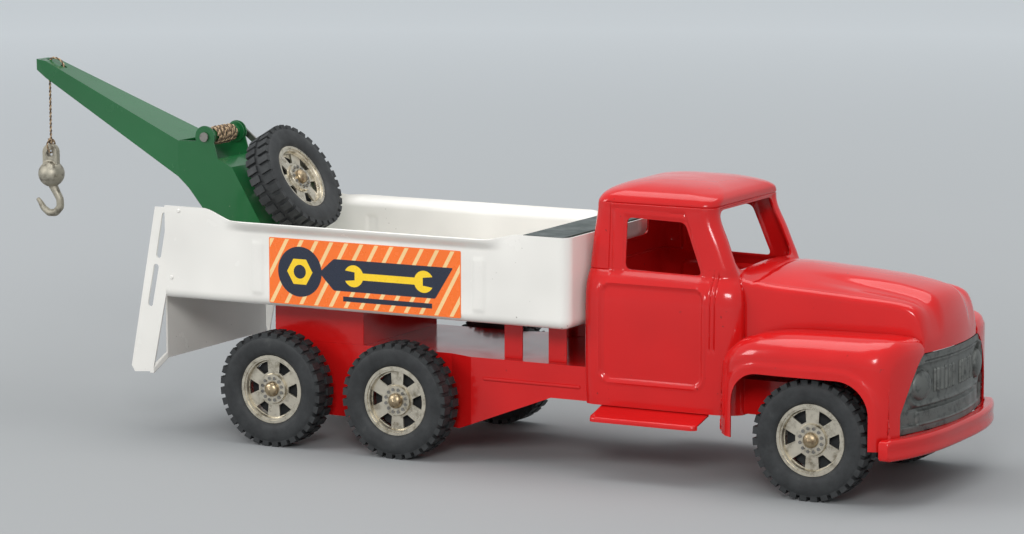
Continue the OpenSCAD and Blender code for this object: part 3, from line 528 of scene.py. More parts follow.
def build_cab():
    heights = np.concatenate([
        np.linspace(44.5, 130.4, 62), [BELT_Z], np.linspace(131.6, 172.9, 31), [DRIP_Z],
        np.linspace(174, 180.5, 10), np.linspace(181, 186.4, 15),
    ])
    table = np.array(CAB_STATIONS, float)
    rows = []
    for z in heights:
        row = [z] + [float(curve_through(table[:, 0], table[:, c], z)) for c in range(1, 7)]
        rows.append(cab_half_ring(row))
    rows = np.array(rows)
    x, y, z = rows[..., 0], rows[..., 1], rows[..., 2]
    tangent = np.gradient(rows[..., :2], axis=1)
    normal = np.stack([-tangent[..., 1], tangent[..., 0]], -1)
    normal /= np.linalg.norm(normal, axis=-1, keepdims=True) + 1e-9
    normal *= np.sign(np.sum(normal * (rows[..., :2] - [[[165, 0]]]), axis=-1, keepdims=True) + 1e-9)
    on_side = ease((normal[..., 1] - 0.75) / 0.2)
    move = cab_press(x, y, z, on_side)
    # Shut line between the roof pressing and the body
    far_off = 99
    drip_seam = np.abs(z - DRIP_Z) + far_off * (x < PILLAR_X - 2)
    pillar_seam = np.abs(x - PILLAR_X) + far_off * ((z < BELT_Z) | (z > DRIP_Z + 1))
    belt_seam = np.abs(z - BELT_Z) + far_off * (x > PILLAR_X + 1)
    seam = np.minimum(np.minimum(drip_seam, pillar_seam), belt_seam)
    move -= 0.75 * np.exp(-(seam / 0.4) ** 2)
    screen = polygon_distance(y, z, WINDSHIELD)
    move -= 0.8 * (1 - ease((screen - 0.2) / 2)) * (x > 190) * (normal[..., 0] > 0.5)
    rear = polygon_distance(y, z, REAR_WINDOW)
    move -= 0.8 * (1 - ease((rear - 0.2) / 2)) * (x < 125) * (normal[..., 0] < -0.5)
    rows[..., 0] += normal[..., 0] * move
    rows[..., 1] += normal[..., 1] * move
    mid_x = (x[:-1, :-1] + x[1:, 1:]) / 2
    mid_z = (z[:-1, :-1] + z[1:, 1:]) / 2
    roof = (mid_z > DRIP_Z) | ((mid_x < PILLAR_X) & (mid_z > BELT_Z))
    mirrored = rows.copy()
    mirrored[..., 1] *= -1
    apex = np.array([159.0, 0, 186.4])
    crown = np.array([apex + (rows[-1] - apex) * (1 - t) + [0, 0, 0.55 * (1 - (1 - t) ** 2)]
                      for t in (0, 0.15, 0.3, 0.5, 0.7, 0.85, 1)])
    for name, keep in (("cab_body", ~roof), ("cab_roof", roof)):
        sheet = Sheet()
        sheet.grid(rows, keep=keep)
        sheet.grid(mirrored, keep=keep, flip=True)
        if name == "cab_roof":
            sheet.grid(crown).grid(crown * [1, -1, 1], flip=True)
        piece = sheet.build(name + "_pressing")
        fix_normals(piece, at(165, 0, 110))
        thicken(piece, SHEET)
        cutters = [
            prism(rounded(SIDE_WINDOW, 4), "y", -80, 80),
            prism(rounded(WINDSHIELD, 6), "x", 192, 240),
            prism(rounded(REAR_WINDOW, 6), "x", 105, 124),
        ]
        cut(piece, *cutters)
        finish_piece(piece, "red", "truck", name)


def fix_normals(piece, inside):
    """Turns all of an open sheet's faces to point away from a place inside it."""
    bm = bmesh.new()
    bm.from_mesh(piece.data)
    bmesh.ops.recalc_face_normals(bm, faces=bm.faces)
    score = sum(f.calc_area() * f.normal.dot(f.calc_center_median() - inside) for f in bm.faces)
    if score < 0:
        bmesh.ops.reverse_faces(bm, faces=bm.faces)
    bm.to_mesh(piece.data)
    bm.free()


# ---------- Hood ----------

# x, crown height, shoulder height, half width, foot height, bow of the front in plan.
HOOD_STATIONS = [
    (214, 136.4, 133.6, 47, 126, 0), (222.5, 137, 130.6, 49.5, 94, 0),
    (240, 136.9, 128, 49.2, 94, 0),
    (265, 135, 126.6, 48.6, 94, 0), (291, 131.6, 125, 48, 94, 0), (315, 128, 123.4, 47, 93.6, 1),
    (330, 124.6, 121.4, 46, 93.2, 2.5), (337, 121.2, 118.4, 45.2, 93, 3.5),
    (341, 116, 113.6, 44.6, 92.6, 4.5),
    (343.6, 108, 106.4, 44.2, 92.4, 5), (345, 99, 98, 44, 92.2, 5), (345.2, 93.6, 93.2, 44, 92.1, 5),
]


def hood_section(row, count=90):
    x, crown, shoulder, half, foot, bow = row
    edge = min(4.5, (shoulder - foot) * 0.45)
    side = [(half, foot), (half, shoulder - edge)]
    turn = np.linspace(0, np.pi / 2, 8)[1:]
    side += [(half - edge * (1 - math.cos(a)), shoulder - edge * (1 - math.sin(a))) for a in turn]
    across = np.linspace(half - edge, 0, 34)[1:]
    top = [(y, shoulder + (crown - shoulder) * (1 - (y / (half - edge)) ** 2)) for y in across]
    # Raised middle of the hood, which grows towards the nose and ends there
    grow = float(ease((x - 246) / 70)) * float(ease((crown - 93.5) / 16))

    def raised(y):
        """Height that the middle band adds, with a shallow trough beside it."""
        ridge = 2.6 * grow * float(1 - ease((abs(y) - 17) / 9))
        return ridge - 1.6 * grow * float(ease((abs(y) - 20) / 8)) * float(1 - ease((abs(y) - 31) / 9))

    top = [(y, z + raised(y)) for y, z in top]
    line = resample(np.array(side + top), count)
    whole = np.concatenate([line, (line * [-1, 1])[-2::-1]])
    return np.column_stack([x - bow * (whole[:, 0] / half) ** 2, whole])


def build_hood():
    table = blend_stations(HOOD_STATIONS, (0, 1), 110)
    rows = np.array([hood_section(row) for row in table])
    # Step where the hood's edge lies on the cowl
    x, y, z = rows[..., 0], rows[..., 1], rows[..., 2]
    line = 224 + 9 * np.sqrt(np.clip(1 - (y / 50) ** 2, 0, 1))
    rows[..., 2] += 0.7 * ease((x - line) / 1.6) * ease((z - 112) / 10) - 0.7 * ease((z - 112) / 10)
    edge = rows[-1].copy()
    edge[:, 2] = 92.0
    piece = Sheet().grid(rows).grid(np.stack([rows[-1], edge])).build("hood_pressing")
    fix_normals(piece, at(280, 0, 90))
    thicken(piece, SHEET)
    finish_piece(piece, "red", "truck", "hood")


GRILLE_HALF, GRILLE_LOW = 70, 44.3
LAMP_Y, LAMP_Z, LAMP_R = 46, 72.5, 9.4


def nose_x(y):
    return 345.6 - 12 * (y / GRILLE_HALF) ** 2


def grille_top(y):
    return 91.5 - 35 * (np.clip(np.abs(y) - 44, 0, None) / 26.5) ** 1.6


def grille_outline(grow):
    """Edge of the grille as (y, z) points, grown all round."""
    half = GRILLE_HALF + grow
    top = [(y, float(grille_top(y)) + grow) for y in np.linspace(-half, half, 57)]
    return top + [(half, GRILLE_LOW - grow), (-half, GRILLE_LOW - grow)]


# ---------- Fenders ----------

# x, top height, outer half width, inner half width, bow of the front in plan.
FENDER_STATIONS = [
    (213, 76, 63, 57.5, 0), (217, 85, 71, 57, 0), (224, 92.5, 78, 51, 0),
    (232, 97.5, 82, 50.6, 0),
    (246, 101.2, 85, 50.4, 0), (266, 102.8, 86, 50.4, 0), (300, 103.4, 86, 48.6, 1),
    (320, 103.5, 85.8, 47.4, 4),
    (332, 102.6, 84.6, 46.2, 7), (338, 100, 82, 45.2, 8.5), (340.6, 95.5, 79, 44.6, 9),
]
FENDER_FOOT = 36


def arch_outline(grow):
    """Wheel arch as a smooth outline, widened by grow."""
    line = [(227 - grow, 20), (227 - grow, 58)]
    line += [
        (247 - (20 + grow) * math.cos(a), 58 + (20 + grow) * math.sin(a))
        for a in np.linspace(0, math.pi / 2, 12)[1:]
    ]
    line += [
        (300 + (21 + grow) * math.sin(a), 57 + (21 + grow) * math.cos(a))
        for a in np.linspace(0, math.pi / 2, 12)
    ]
    line += [(321 + grow, 20)]
    return line


def fender_section(row, count=70):
    x, top, out, inner, bow = row
    w = out - inner
    turn = np.linspace(0, np.pi / 2, 20)
    line = [(out, FENDER_FOOT), (out, top - w * 0.42)]
    line += [
        (out - w * 0.5 * (1 - math.cos(a)), top - w * 0.42 * (1 - math.sin(a))) for a in turn[1:]
    ]
    line.append((inner, top - 0.6))
    line = resample(np.array(line), count)
    return np.column_stack([x - bow * (np.clip(line[:, 0] - 44, 0, None) / 36) ** 2, line])


def build_fenders():
    table = blend_stations(FENDER_STATIONS, (0, 1), 100)
    rows = np.array([fender_section(row) for row in table])
    x, y, z = rows[..., 0], rows[..., 1], rows[..., 2]
    # Raised band round the wheel arch, on the outer skin
    near = polygon_distance(x, z, arch_outline(0))
    band = ease((near - 7.5) / -2.0) * ease((y - 60) / 12)
    rows[..., 1] += 0.9 * band

    def wall_down(edge):
        """End wall of the fender, from its edge down to the foot."""
        x, y, z = edge.T
        return np.array([
            np.column_stack([x, y, FENDER_FOOT + (z - FENDER_FOOT) * (1 - t)]) for t in np.linspace(0, 1, 14)
        ])

    face, rear = wall_down(rows[-1]), wall_down(rows[0])
    for side, way in SIDES:
        sheet = Sheet().grid(rows).grid(face).grid(rear, flip=True)
        piece = sheet.build(f"fender_{side}_pressing", mirror=way < 0)
        fix_normals(piece, at(280, way * 60, 60))
        thicken(piece, SHEET)
        y0, y1 = sorted((way * 62, way * 100))
        cut(piece, prism(arch_outline(0), "y", y0, y1), prism(grille_outline(0.4), "x", 322, 352))
        finish_piece(piece, "red", "truck", f"fender_{side}")


# ---------- Bed ----------

BED_X, BED_HALF, BED_FLOOR, LIP_Z = (-189, 112), 76, 93, 141
BED_CORNER, BED_ROUND, LABEL_X = 7, 6, (-108, 35)


def bed_top(x):
    """Height of the wall's edge along the bed."""
    rear = 155 - 7 * ease((x + 160) / 24)
    return np.where(x < 0, rear, 148 + 4 * ease((x - 54) / 22))


def bed_flare(x):
    """How far the rolled lip leans out along the bed."""
    return 6 * ease((x + 146) / 22) * (1 - ease((x - 48) / 20))


def build_bed():
    r = BED_CORNER
    wall_x = np.linspace(BED_X[0], BED_X[1] - r, 240)
    turn = np.linspace(0, np.pi / 2, 14)[1:]
    edge = [(x, BED_HALF, 0.0, 1.0) for x in wall_x]
    edge += [
        (BED_X[1] - r + r * math.sin(a), BED_HALF - r + r * math.cos(a), math.sin(a), math.cos(a))
        for a in turn
    ]
    front = [(BED_X[1], y, 1.0, 0.0) for y in np.linspace(BED_HALF - r, 0, 40)[1:]]
    half = np.array(edge + front)
    plan = np.concatenate([half, (half * [1, -1, 1, -1])[-2::-1]])
    x, y, nx, ny = plan.T
    top = bed_top(x)
    rows = []
    for a in np.linspace(0, np.pi / 2, 9):
        inset = BED_ROUND * (1 - math.sin(a))
        z = BED_FLOOR + BED_ROUND * (1 - math.cos(a))
        rows.append(np.column_stack([x - nx * inset, y - ny * inset, np.full_like(x, z)]))
    for t in np.linspace(0, 1, 56)[1:]:
        z = BED_FLOOR + BED_ROUND + t * (top - BED_FLOOR - BED_ROUND)
        out = bed_flare(x) * ease((z - LIP_Z) / (top - LIP_Z + 0.4)) ** 0.8
        # Stakes pressed outwards in the side walls
        for stake in (-117, 48):
            across = 1 - ease((np.abs(x - stake) - 3) / 2)
            out = out + 0.9 * across * ease((z - 99) / 4) * ease((137 - z) / 4)
        rows.append(np.column_stack([x, y + ny * out, z]))
    piece = Sheet().grid(rows).cap(rows[0]).build("bed_pressing")
    fix_normals(piece, at(-40, 0, 150))
    thicken(piece, SHEET)
    finish_piece(piece, "white", "truck", "bed_box")


# ---------- Printed labels ----------

def disc(cx, cz, radius, count=72):
    angles = np.linspace(0, math.tau, count, False)
    return [(cx + radius * math.cos(a), cz + radius * math.sin(a)) for a in angles]


def clip_outline(outline, low, high):
    """Cuts a convex outline to a rectangle."""
    for axis, limit, keep in ((0, low[0], 1), (0, high[0], -1), (1, low[1], 1), (1, high[1], -1)):
        out = []
        for i, p in enumerate(outline):
            q = outline[(i + 1) % len(outline)]
            a, b = (p[axis] - limit) * keep, (q[axis] - limit) * keep
            if a >= 0:
                out.append(p)
            if a * b < 0:
                t = a / (a - b)
                out.append((p[0] + t * (q[0] - p[0]), p[1] + t * (q[1] - p[1])))
        outline = out
        if not outline:
            break
    return outline


def spanner_outline(x0, x1, z, head, shank):
    """Open-ended spanner lying along x, with its two heads at x0 and x1."""
    join = math.asin(shank / head)
    mouth = 0.5

    def arc(start, end):
        return [(x1 + head * math.cos(a), z + head * math.sin(a)) for a in np.linspace(start, end, 14)]

    half = arc(join - math.pi, -mouth)
    half += [(x1 - 0.1 * head, z - 0.36 * head), (x1 - 0.1 * head, z + 0.36 * head)]
    half += arc(mouth, math.pi - join)
    return half + [(x0 + x1 - x, 2 * z - y) for x, y in half]


def build_label(side, way):
    """Striped panel with a badge and a banner. Its left-hand print is turned about, so both read the same."""
    x0, x1 = LABEL_X
    low_z, high_z = 95.6, 139.1
    badge_x, badge_z, badge_r, nut_r, bore_r = -84.6, 117.6, 16.5, 9.6, 4.6

    def layer(tag, outlines, look, depth):
        bm = bmesh.new()
        y0, y1 = way * (BED_HALF - 0.1), way * (BED_HALF + depth)
        for outline in outlines:
            if way > 0:
                outline = [(x0 + x1 - x, z) for x, z in outline]
            near = [bm.verts.new((x * MM, y0 * MM, z * MM)) for x, z in outline]
            far = [bm.verts.new((x * MM, y1 * MM, z * MM)) for x, z in outline]
            n = len(outline)
            bm.faces.new(near)
            bm.faces.new(far[::-1])
            for i in range(n):
                bm.faces.new((near[i], far[i], far[(i + 1) % n], near[(i + 1) % n]))
        bmesh.ops.recalc_face_normals(bm, faces=bm.faces)
        mesh = bpy.data.meshes.new(f"label_{side}_{tag}")
        bm.to_mesh(mesh)
        bm.free()
        piece = bpy.data.objects.new(mesh.name, mesh)
        bpy.context.scene.collection.objects.link(piece)
        piece.data.materials.append(MAT[look])
        finish_piece(piece, "orange", "truck", *([f"side_label_{side}"] if tag == "ground" else []), sharp=20)

    ground = rounded([(x0, low_z), (x1, low_z), (x1, high_z), (x0, high_z)], 1.0, 3)
    layer("ground", [ground], "orange", 0.20)
    pitch, wide, lean = 11.2, 2.9, 0.55
    stripes = []
    for i in range(-3, 15):
        foot = x0 + i * pitch
        rise = (high_z - low_z) * lean
        stripe = [(foot, low_z), (foot + wide, low_z), (foot + wide + rise, high_z), (foot + rise, high_z)]
        stripe = clip_outline(stripe, (x0 + 0.6, low_z + 0.6), (x1 - 0.6, high_z - 0.6))
        if len(stripe) > 2:
            stripes.append(stripe)
    layer("stripes", stripes, "cream", 0.25)
    layer("badge", [disc(badge_x, badge_z, badge_r)], "navy", 0.30)
    banner = [(-70, 118), (-59, 107), (16.3, 107), (29.3, 127.7), (-59, 127.7)]
    layer("banner", [rounded(banner, 1.0, 3)], "navy", 0.31)
    layer("nut", [disc(badge_x, badge_z, nut_r, 6)], "yellow", 0.35)
    layer("nut_bore", [disc(badge_x, badge_z, bore_r, 36)], "navy", 0.385)
    layer("spanner", [spanner_outline(-44, 8, 117.4, 7.2, 2.3)], "yellow", 0.36)
    footline = [(-52, 100.4), (14, 100.4), (14, 103.6), (-52, 103.6)]
    layer("underline", [footline], "navy", 0.30)


# ---------- Nose ----------

def build_grille():
    ys = np.linspace(-GRILLE_HALF, GRILLE_HALF, 281)
    share = np.linspace(0, 1, 120)
    y, t = np.meshgrid(ys, share)
    z = GRILLE_LOW + t * (grille_top(y) - GRILLE_LOW)
    rim = -polygon_distance(y, z, grille_outline(0))
    # Raised border, recessed field, long panel with ribs, groove, lower strip, and a lamp at each end
    out = -1.9 * ease((rim - 3.6) / 1.2)
    panel = box_distance(y, z, (-59, 60), (59, 86), 11)
    out += 1.0 * np.exp(-(panel / 1.1) ** 2) + 0.5 * (1 - ease(panel / 2))
    ribs = ease((np.cos(y * math.tau / 5.2) + 0.2) / 0.6) * (np.abs(y) > 5) * (np.abs(y) < 31)
    band = (1 - ease((np.abs(z - 73.5) - 6.6) / 1.2)) * (1 - ease((np.abs(y) - 31) / 1.5))
    out += 1.2 * ribs * band
    out -= 0.9 * np.exp(-((z - 58) / 0.9) ** 2) * (1 - ease((np.abs(y) - 56) / 3))
    strip = box_distance(y, z, (-50, 48.2), (50, 56.4), 2)
    out += 1.1 * (1 - ease((strip + 0.4) / 1.0))
    lamp = np.hypot(np.abs(y) - LAMP_Y, z - LAMP_Z)
    dome = np.sqrt(np.clip(1 - (lamp / LAMP_R) ** 2, 0, 1)) * 4.2
    out = np.where(lamp < LAMP_R, np.maximum(out, -1.6 + dome), out)
    out -= 0.7 * np.exp(-((lamp - 10.1) / 0.8) ** 2)
    rows = np.stack([nose_x(y) + out, y, z], -1)
    piece = Sheet().grid(rows).build("grille_casting")
    fix_normals(piece, at(250, 0, 65))
    thicken(piece, 1.1)
    finish_piece(piece, "grille", "truck", "grille")


def bumper_x(y):
    return 349 - 15 * (np.abs(y) / 88) ** 3


def build_bumper():
    ys = np.concatenate([np.linspace(-88, -84, 9), np.linspace(-83, 83, 120), np.linspace(84, 88, 9)])
    rows = []
    for y in ys:
        end = float(np.clip((88 - abs(y)) / 4, 0, 1))
        squash = math.sqrt(1 - (1 - end) ** 2) * 0.35 + 0.65
        low, high = 30.7, 44.0
        mid, half = (low + high) / 2, (high - low) / 2 * squash
        ring = [(-5, -half)]
        for a in np.linspace(-math.pi / 2, 0, 7):
            ring.append((1.5 - 2.6 + 2.6 * math.cos(a), -half + 2.6 + 2.6 * math.sin(a)))
        for a in np.linspace(0, math.pi / 2, 7):
            ring.append((1.5 - 2.6 + 2.6 * math.cos(a), half - 2.6 + 2.6 * math.sin(a)))
        ring.append((-5, half))
        ring = resample(np.array(ring), 48)
        # Shallow crease along the face
        crease = -0.5 * np.exp(-((ring[:, 1]) / 3.2) ** 2) * (ring[:, 0] > 1)
        rows.append([(float(bumper_x(y)) + p[0] + c, y, mid + p[1]) for p, c in zip(ring, crease)])
    piece = Sheet().grid(np.array(rows)).cap(rows[0]).cap(rows[-1]).build("bumper_band")
    fix_normals(piece, at(300, 0, 37))
    thicken(piece, SHEET)
    finish_piece(piece, "red", "truck", "bumper")


def build_running_boards():
    """Wedge-shaped step with a rounded front corner, folded down along its outer edge."""
    for side, way in SIDES:
        rows = []
        for x in np.linspace(126.6, 201.4, 90):
            near_end = min(x - 126.6, 201.4 - x)
            pull = 3.4 * (1 - math.sqrt(max(0.0, 1 - (1 - min(1.0, near_end / 5)) ** 2)))
            line = [(57.2, 44.2), (60, 43.6), (68, 41.6), (75.6, 40.1)]
            fold = np.linspace(0.15, math.pi / 2, 7)
            line += [(75.6 + 2 * math.sin(a), 38.1 + 2 * math.cos(a)) for a in fold]
            line += [(77.6, 36.7)]
            line = resample(np.array(line), 40)
            rows.append([(x, 57.2 + (p[0] - 57.2) * (1 - pull / 20), p[1]) for p in line])
        piece = Sheet().grid(np.array(rows)).build(f"running_board_{side}_pressing", mirror=way < 0)
        fix_normals(piece, at(165, way * 57, 30))
        thicken(piece, SHEET)
        finish_piece(piece, "red", "truck", f"running_board_{side}")


# ---------- String, knot and hook ----------

STRING_X, STRING_TOP, KNOT_Z, EYE_Z, TWINE_D = -331, 227, 183, 174.6, 1.8
WINCH = (-191.5, 195)
BOOM_ROUTE = [
    (-200, 0, 187), (-215, 0, 188), (-240, 0, 197), (-265, 0, 207), (-290, 0, 218), (-308, 0, 225),
    (-316, 0, 229), (-319, 0, 233), (-319.4, 0, 236.6), (-321.6, 0, 239.8), (-325, 0, 241),
    (-329, 0, 241.2), (-330.8, 0, 239.4),
    (-331, 0, 235), (-331, 0, 227.2),
]


def smooth_route(points, step):
    """A given route as an even line of points, without corners."""
    line = resample(np.array(points, float), max(8, int(sum(
        np.linalg.norm(np.subtract(b, a)) for a, b in zip(points, points[1:])) / step)))
    for _ in range(3):
        line[1:-1] = (line[:-2] + 2 * line[1:-1] + line[2:]) / 4
    return line


def twist_strands(line, diameter, strands=2, lay=5.0, sides=9):
    """Grids of the plies that run twisted together along a line."""
    line = np.asarray(line, float)
    travelled = np.concatenate([[0], np.cumsum(np.linalg.norm(np.diff(line, axis=0), axis=1))])
    way = np.gradient(line, axis=0)
    way /= np.linalg.norm(way, axis=1, keepdims=True)
    side = np.cross(way, [0, 1, 0] if abs(way[:, 1]).max() < 0.8 else [0.3, 0.2, 1])
    side /= np.linalg.norm(side, axis=1, keepdims=True)
    up = np.cross(way, side)
    ply = diameter * 0.27
    grids = []
    for k in range(strands):
        turn = travelled / lay * math.tau + k * math.tau / strands
        centre = line + (diameter / 2 - ply) * (np.cos(turn)[:, None] * side + np.sin(turn)[:, None] * up)
        angles = np.linspace(0, math.tau, sides, False)
        rings = [centre + ply * (math.cos(a) * side + math.sin(a) * up) for a in angles]
        grids.append(np.stack(rings, 1))
    return grids


def strand_piece(name, lines, diameter, lay=5.0):
    """Lines of twine, each one light ply and one dark ply twisted together."""
    sheet = Sheet()
    looks = []
    for line in lines:
        for k, rows in enumerate(twist_strands(line, diameter, lay=lay)):
            before = len(sheet.faces)
            sheet.grid(rows, around=True).cap(rows[0], flip=True).cap(rows[-1])
            looks += [k] * (len(sheet.faces) - before)
    piece = sheet.build(name, merge=0.00001)
    for look in ("twine", "twine_dark"):
        piece.data.materials.append(MAT[look])
    for polygon, look in zip(piece.data.polygons, looks):
        polygon.material_index = look
    return face_outwards(piece)


def build_winding():
    """Uneven turns of string on the drum, two layers deep."""
    lines = []
    for layer, (radius, half, turns, lean) in enumerate(((4.95, 11.4, 12, 0.0), (5.75, 9.6, 7, 1.2))):
        t = np.linspace(0, 1, turns * 40)
        a = t * turns * math.tau
        wander = 0.5 * np.sin(a * 0.37 + layer * 2) + lean * np.sin(a * 0.5 + 1)
        y = (-half + 2 * half * t) * (1 if layer == 0 else -1) + wander
        r = radius + 0.12 * np.sin(a * 1.7 + layer)
        lines.append(np.column_stack([
            WINCH[0] + r * np.cos(a), np.clip(y, -12, 12), WINCH[1] + r * np.sin(a)]))
    piece = strand_piece("winch_winding", lines, 1.5, lay=4.0)
    finish_piece(piece, "twine", "winch", "winch_string", sharp=0)


def build_boom_string():
    piece = strand_piece("boom_string_twine", [smooth_route(BOOM_ROUTE, 0.7)], TWINE_D)
    finish_piece(piece, "twine", "truck", "boom_string", sharp=0)


def build_hanging_string():
    """Free string from the boom's tip to the knot, and the knotted loop that holds the hook."""
    top, foot = STRING_TOP, KNOT_Z
    line = np.column_stack([
        np.full(80, STRING_X), np.zeros(80), np.linspace(top, foot, 80)])
    hanging = strand_piece("hanging_string_twine", [line], TWINE_D)
    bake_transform(hanging)
    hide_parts("hanging_string")
    loop_mid = EYE_Z + 4.6
    a = np.linspace(0, math.tau, 90)
    loop = np.column_stack([STRING_X + 0.35 * np.sin(a * 2), 4.5 * np.sin(a), loop_mid + 4.6 * np.cos(a)])
    knot = []
    for turn, radius, wobble in ((0, 1.35, 0.5), (1, 1.5, -0.6)):
        b = np.linspace(0, math.tau, 40)
        height = KNOT_Z + (turn - 0.5) * 1.5 + wobble * np.sin(b)
        knot.append(np.column_stack([STRING_X + radius * np.cos(b), radius * np.sin(b), height]))
    knot.append(np.column_stack([
        STRING_X + 0.2 + np.linspace(0, 1, 16) * 2.2, -np.linspace(0, 1, 16) * 1.6,
        KNOT_Z - np.linspace(0, 1, 16) ** 2 * 5]))
    tied = strand_piece("string_knot_twine", [loop] + knot, 1.5, lay=4.0)
    finish_piece(tied, "twine", "string_end", "string_knot", sharp=0)


def tapered_bar(sheet, route, radii, sides=20):
    """Adds a round bar that follows a route in the centre plane, with its radius changing along it."""
    line = smooth_route(route, 0.5)
    reach = np.linspace(0, 1, len(line))
    radius = curve_through(*np.array(radii).T, reach)
    way = np.gradient(line, axis=0)
    way /= np.linalg.norm(way, axis=1, keepdims=True)
    up = np.cross(way, [0, 1, 0])
    rings = [
        line + radius[:, None] * (math.cos(a) * np.array([0, 1, 0]) + math.sin(a) * up)
        for a in np.linspace(0, math.tau, sides, False)
    ]
    rows = np.stack(rings, 1)
    sheet.grid(rows, around=True).cap(rows[0], flip=True).cap(rows[-1])


def build_hook():
    """Cast hook: flat eye, ball weight and a tapering bent shank, run together as one rough casting."""
    sheet = Sheet()
    ball_z, ball_r, eye_r, half = 160, 9.2, 6.0, 2.1
    turn = np.linspace(0, math.tau, 64, False)
    ball = [
        np.column_stack([
            STRING_X + ball_r * math.sin(p) * np.cos(turn), ball_r * math.sin(p) * np.sin(turn),
            np.full(64, ball_z - ball_r * math.cos(p))])
        for p in np.linspace(0.02, math.pi - 0.02, 40)
    ]
    sheet.grid(np.array(ball), around=True).cap(ball[0], flip=True).cap(ball[-1])
    arch = [
        (STRING_X + eye_r * math.cos(a), EYE_Z + 0.4 + eye_r * math.sin(a))
        for a in np.linspace(0, math.pi, 30)
    ]
    tab = arch + [(STRING_X - eye_r, ball_z), (STRING_X + eye_r, ball_z)]
    faces = [np.array([(x, y, z) for x, z in tab]) for y in (-half, half)]
    sheet.grid(np.array(faces), around=True).cap(faces[0], flip=True).cap(faces[1])
    tapered_bar(sheet, [
        (-330.6, 0, 153), (-327.5, 0, 148), (-324.2, 0, 142.5), (-324, 0, 137), (-328, 0, 132.8),
        (-333.5, 0, 132.4), (-338, 0, 135.5), (-340.6, 0, 139.5), (-343, 0, 142),
    ], [(0, 3.2), (0.25, 2.7), (0.6, 2.6), (0.85, 2.1), (1, 1.3)])
    piece = sheet.build("crane_hook_casting", merge=0.0001)
    remesh = piece.modifiers.new("remesh", "REMESH")
    remesh.mode = "VOXEL"
    remesh.voxel_size = 0.3 * MM
    smooth = piece.modifiers.new("smooth", "SMOOTH")
    smooth.factor, smooth.iterations = 0.5, 6
    apply_modifiers(piece)
    cut(piece, prism(disc(STRING_X, EYE_Z, 2.6, 40), "y", -8, 8))
    piece.data.materials.clear()
    finish_piece(piece, "hook", "hook", "crane_hook", sharp=50)


# ---------- Wheel details ----------

def on_wheel(sheet, centre, out, rings):
    """Adds closed discs to a wheel: (distance from the axle, angle, disc radius, inner and outer depth)."""
    out = np.array(out, float)
    side = np.cross(out, [0, 1, 0] if abs(out[1]) < 0.5 else [1, 0, 0])
    side /= np.linalg.norm(side)
    up = np.cross(out, side)
    turn = np.linspace(0, math.tau, 28, False)
    for reach, angle, radius, near, far in rings:
        mid = np.array(centre) + reach * (math.cos(angle) * side + math.sin(angle) * up)
        edge = np.cos(turn)[:, None] * side + np.sin(turn)[:, None] * up
        low, high = mid + radius * edge - near * out, mid + radius * edge - far * out
        sheet.grid(np.stack([low, high]), around=True).cap(low, flip=True).cap(high)


def build_wheel_details():
    """A dark rubber disc behind each rim's openings, which makes them look dark, and the ring of small rivets
    round its hub.
    """
    tilt = math.radians(59)
    places = [("spare_wheel", (-125.5, 0, 171.4), (math.sin(tilt), 0, math.cos(tilt)))]
    for place, x in (("front", 279.5), ("middle", -13), ("rear", -106.5)):
        for side, way in SIDES:
            places.append((f"wheel_{place}_{side}", (x, way * 80.3, 38), (0, way, 0)))
    for body, centre, out in places:
        for tag, look, rings in (
            # A dark rubber disc set behind the openings so that they look dark
            ("dark_disc", "rubber", [(0, 0, 19.2, 12.6, 11.6)]),
            ("rivets", "steel", [(7.4, (k + 0.5) * math.tau / 12, 1.1, 4.4, 3.35) for k in range(12)]),
        ):
            sheet = Sheet()
            on_wheel(sheet, centre, out, rings)
            finish_piece(face_outwards(sheet.build(f"{body}_{tag}", merge=0.0001)), look, body)


# ---------- Stage ----------

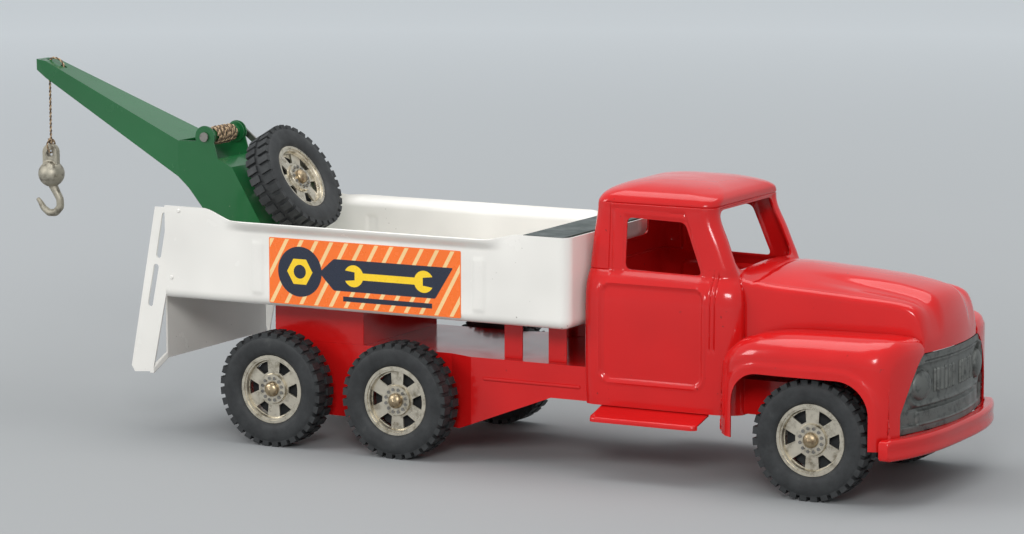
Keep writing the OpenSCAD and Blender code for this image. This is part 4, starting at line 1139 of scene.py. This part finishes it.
def make_stage():
    """Wide level floor whose paper grows paler with distance, so that it is the backdrop from every side."""
    half = 14.0
    bm = bmesh.new()
    corners = ((-half, -half, 0), (half, -half, 0), (half, half, 0), (-half, half, 0))
    bm.faces.new([bm.verts.new(p) for p in corners])
    mesh = bpy.data.meshes.new("floor")
    bm.to_mesh(mesh)
    bm.free()
    floor = bpy.data.objects.new("floor", mesh)
    bpy.context.scene.collection.objects.link(floor)
    p = Paint("floor_paper", 0.8, specular=0.1)
    reach = p.nodes.new("ShaderNodeVectorMath")
    reach.operation = "LENGTH"
    p.links.new(p.place, reach.inputs[0])
    far = p.ramp(p.times(reach.outputs["Value"], 0.25), [(0.1, 0.0), (0.8, 1.0)])
    grey = p.ramp(p.noise(0.8, 2), [(0.3, (0.31, 0.317, 0.32)), (0.7, (0.325, 0.332, 0.335))])
    p.colour(p.mix(far, grey, (0.86, 0.885, 0.90)))
    mesh.materials.append(p.material)


def softbox(name, place, target, size, power):
    data = bpy.data.lights.new(name, "AREA")
    data.shape = "RECTANGLE"
    data.size, data.size_y = size
    data.energy = power
    lamp = bpy.data.objects.new(name, data)
    lamp.location = place
    lamp.rotation_euler = (Vector(target) - Vector(place)).to_track_quat("-Z", "Y").to_euler()
    bpy.context.scene.collection.objects.link(lamp)


def make_light():
    softbox("top_box", (0.0, 0.1, 1.7), (0.05, 0, 0), (1.9, 1.2), 19)
    softbox("front_box", (1.1, -2.3, 1.3), (0.1, 0, 0.1), (0.8, 0.6), 30)
    softbox("left_box", (-1.8, -1.5, 1.2), (0, 0, 0.1), (0.9, 0.8), 18)
    world = bpy.data.worlds.new("studio")
    world.use_nodes = True
    background = world.node_tree.nodes["Background"]
    background.inputs["Color"].default_value = (0.86, 0.9, 0.93, 1)
    background.inputs["Strength"].default_value = 0.70
    bpy.context.scene.world = world
    bpy.context.scene.view_settings.view_transform = "Standard"


build_cab()
build_hood()
build_fenders()
build_bed()
for side_name, side_way in SIDES:
    build_label(side_name, side_way)
build_grille()
build_bumper()
build_running_boards()
build_winding()
build_boom_string()
build_hanging_string()
build_hook()
build_wheel_details()
make_stage()
make_light()
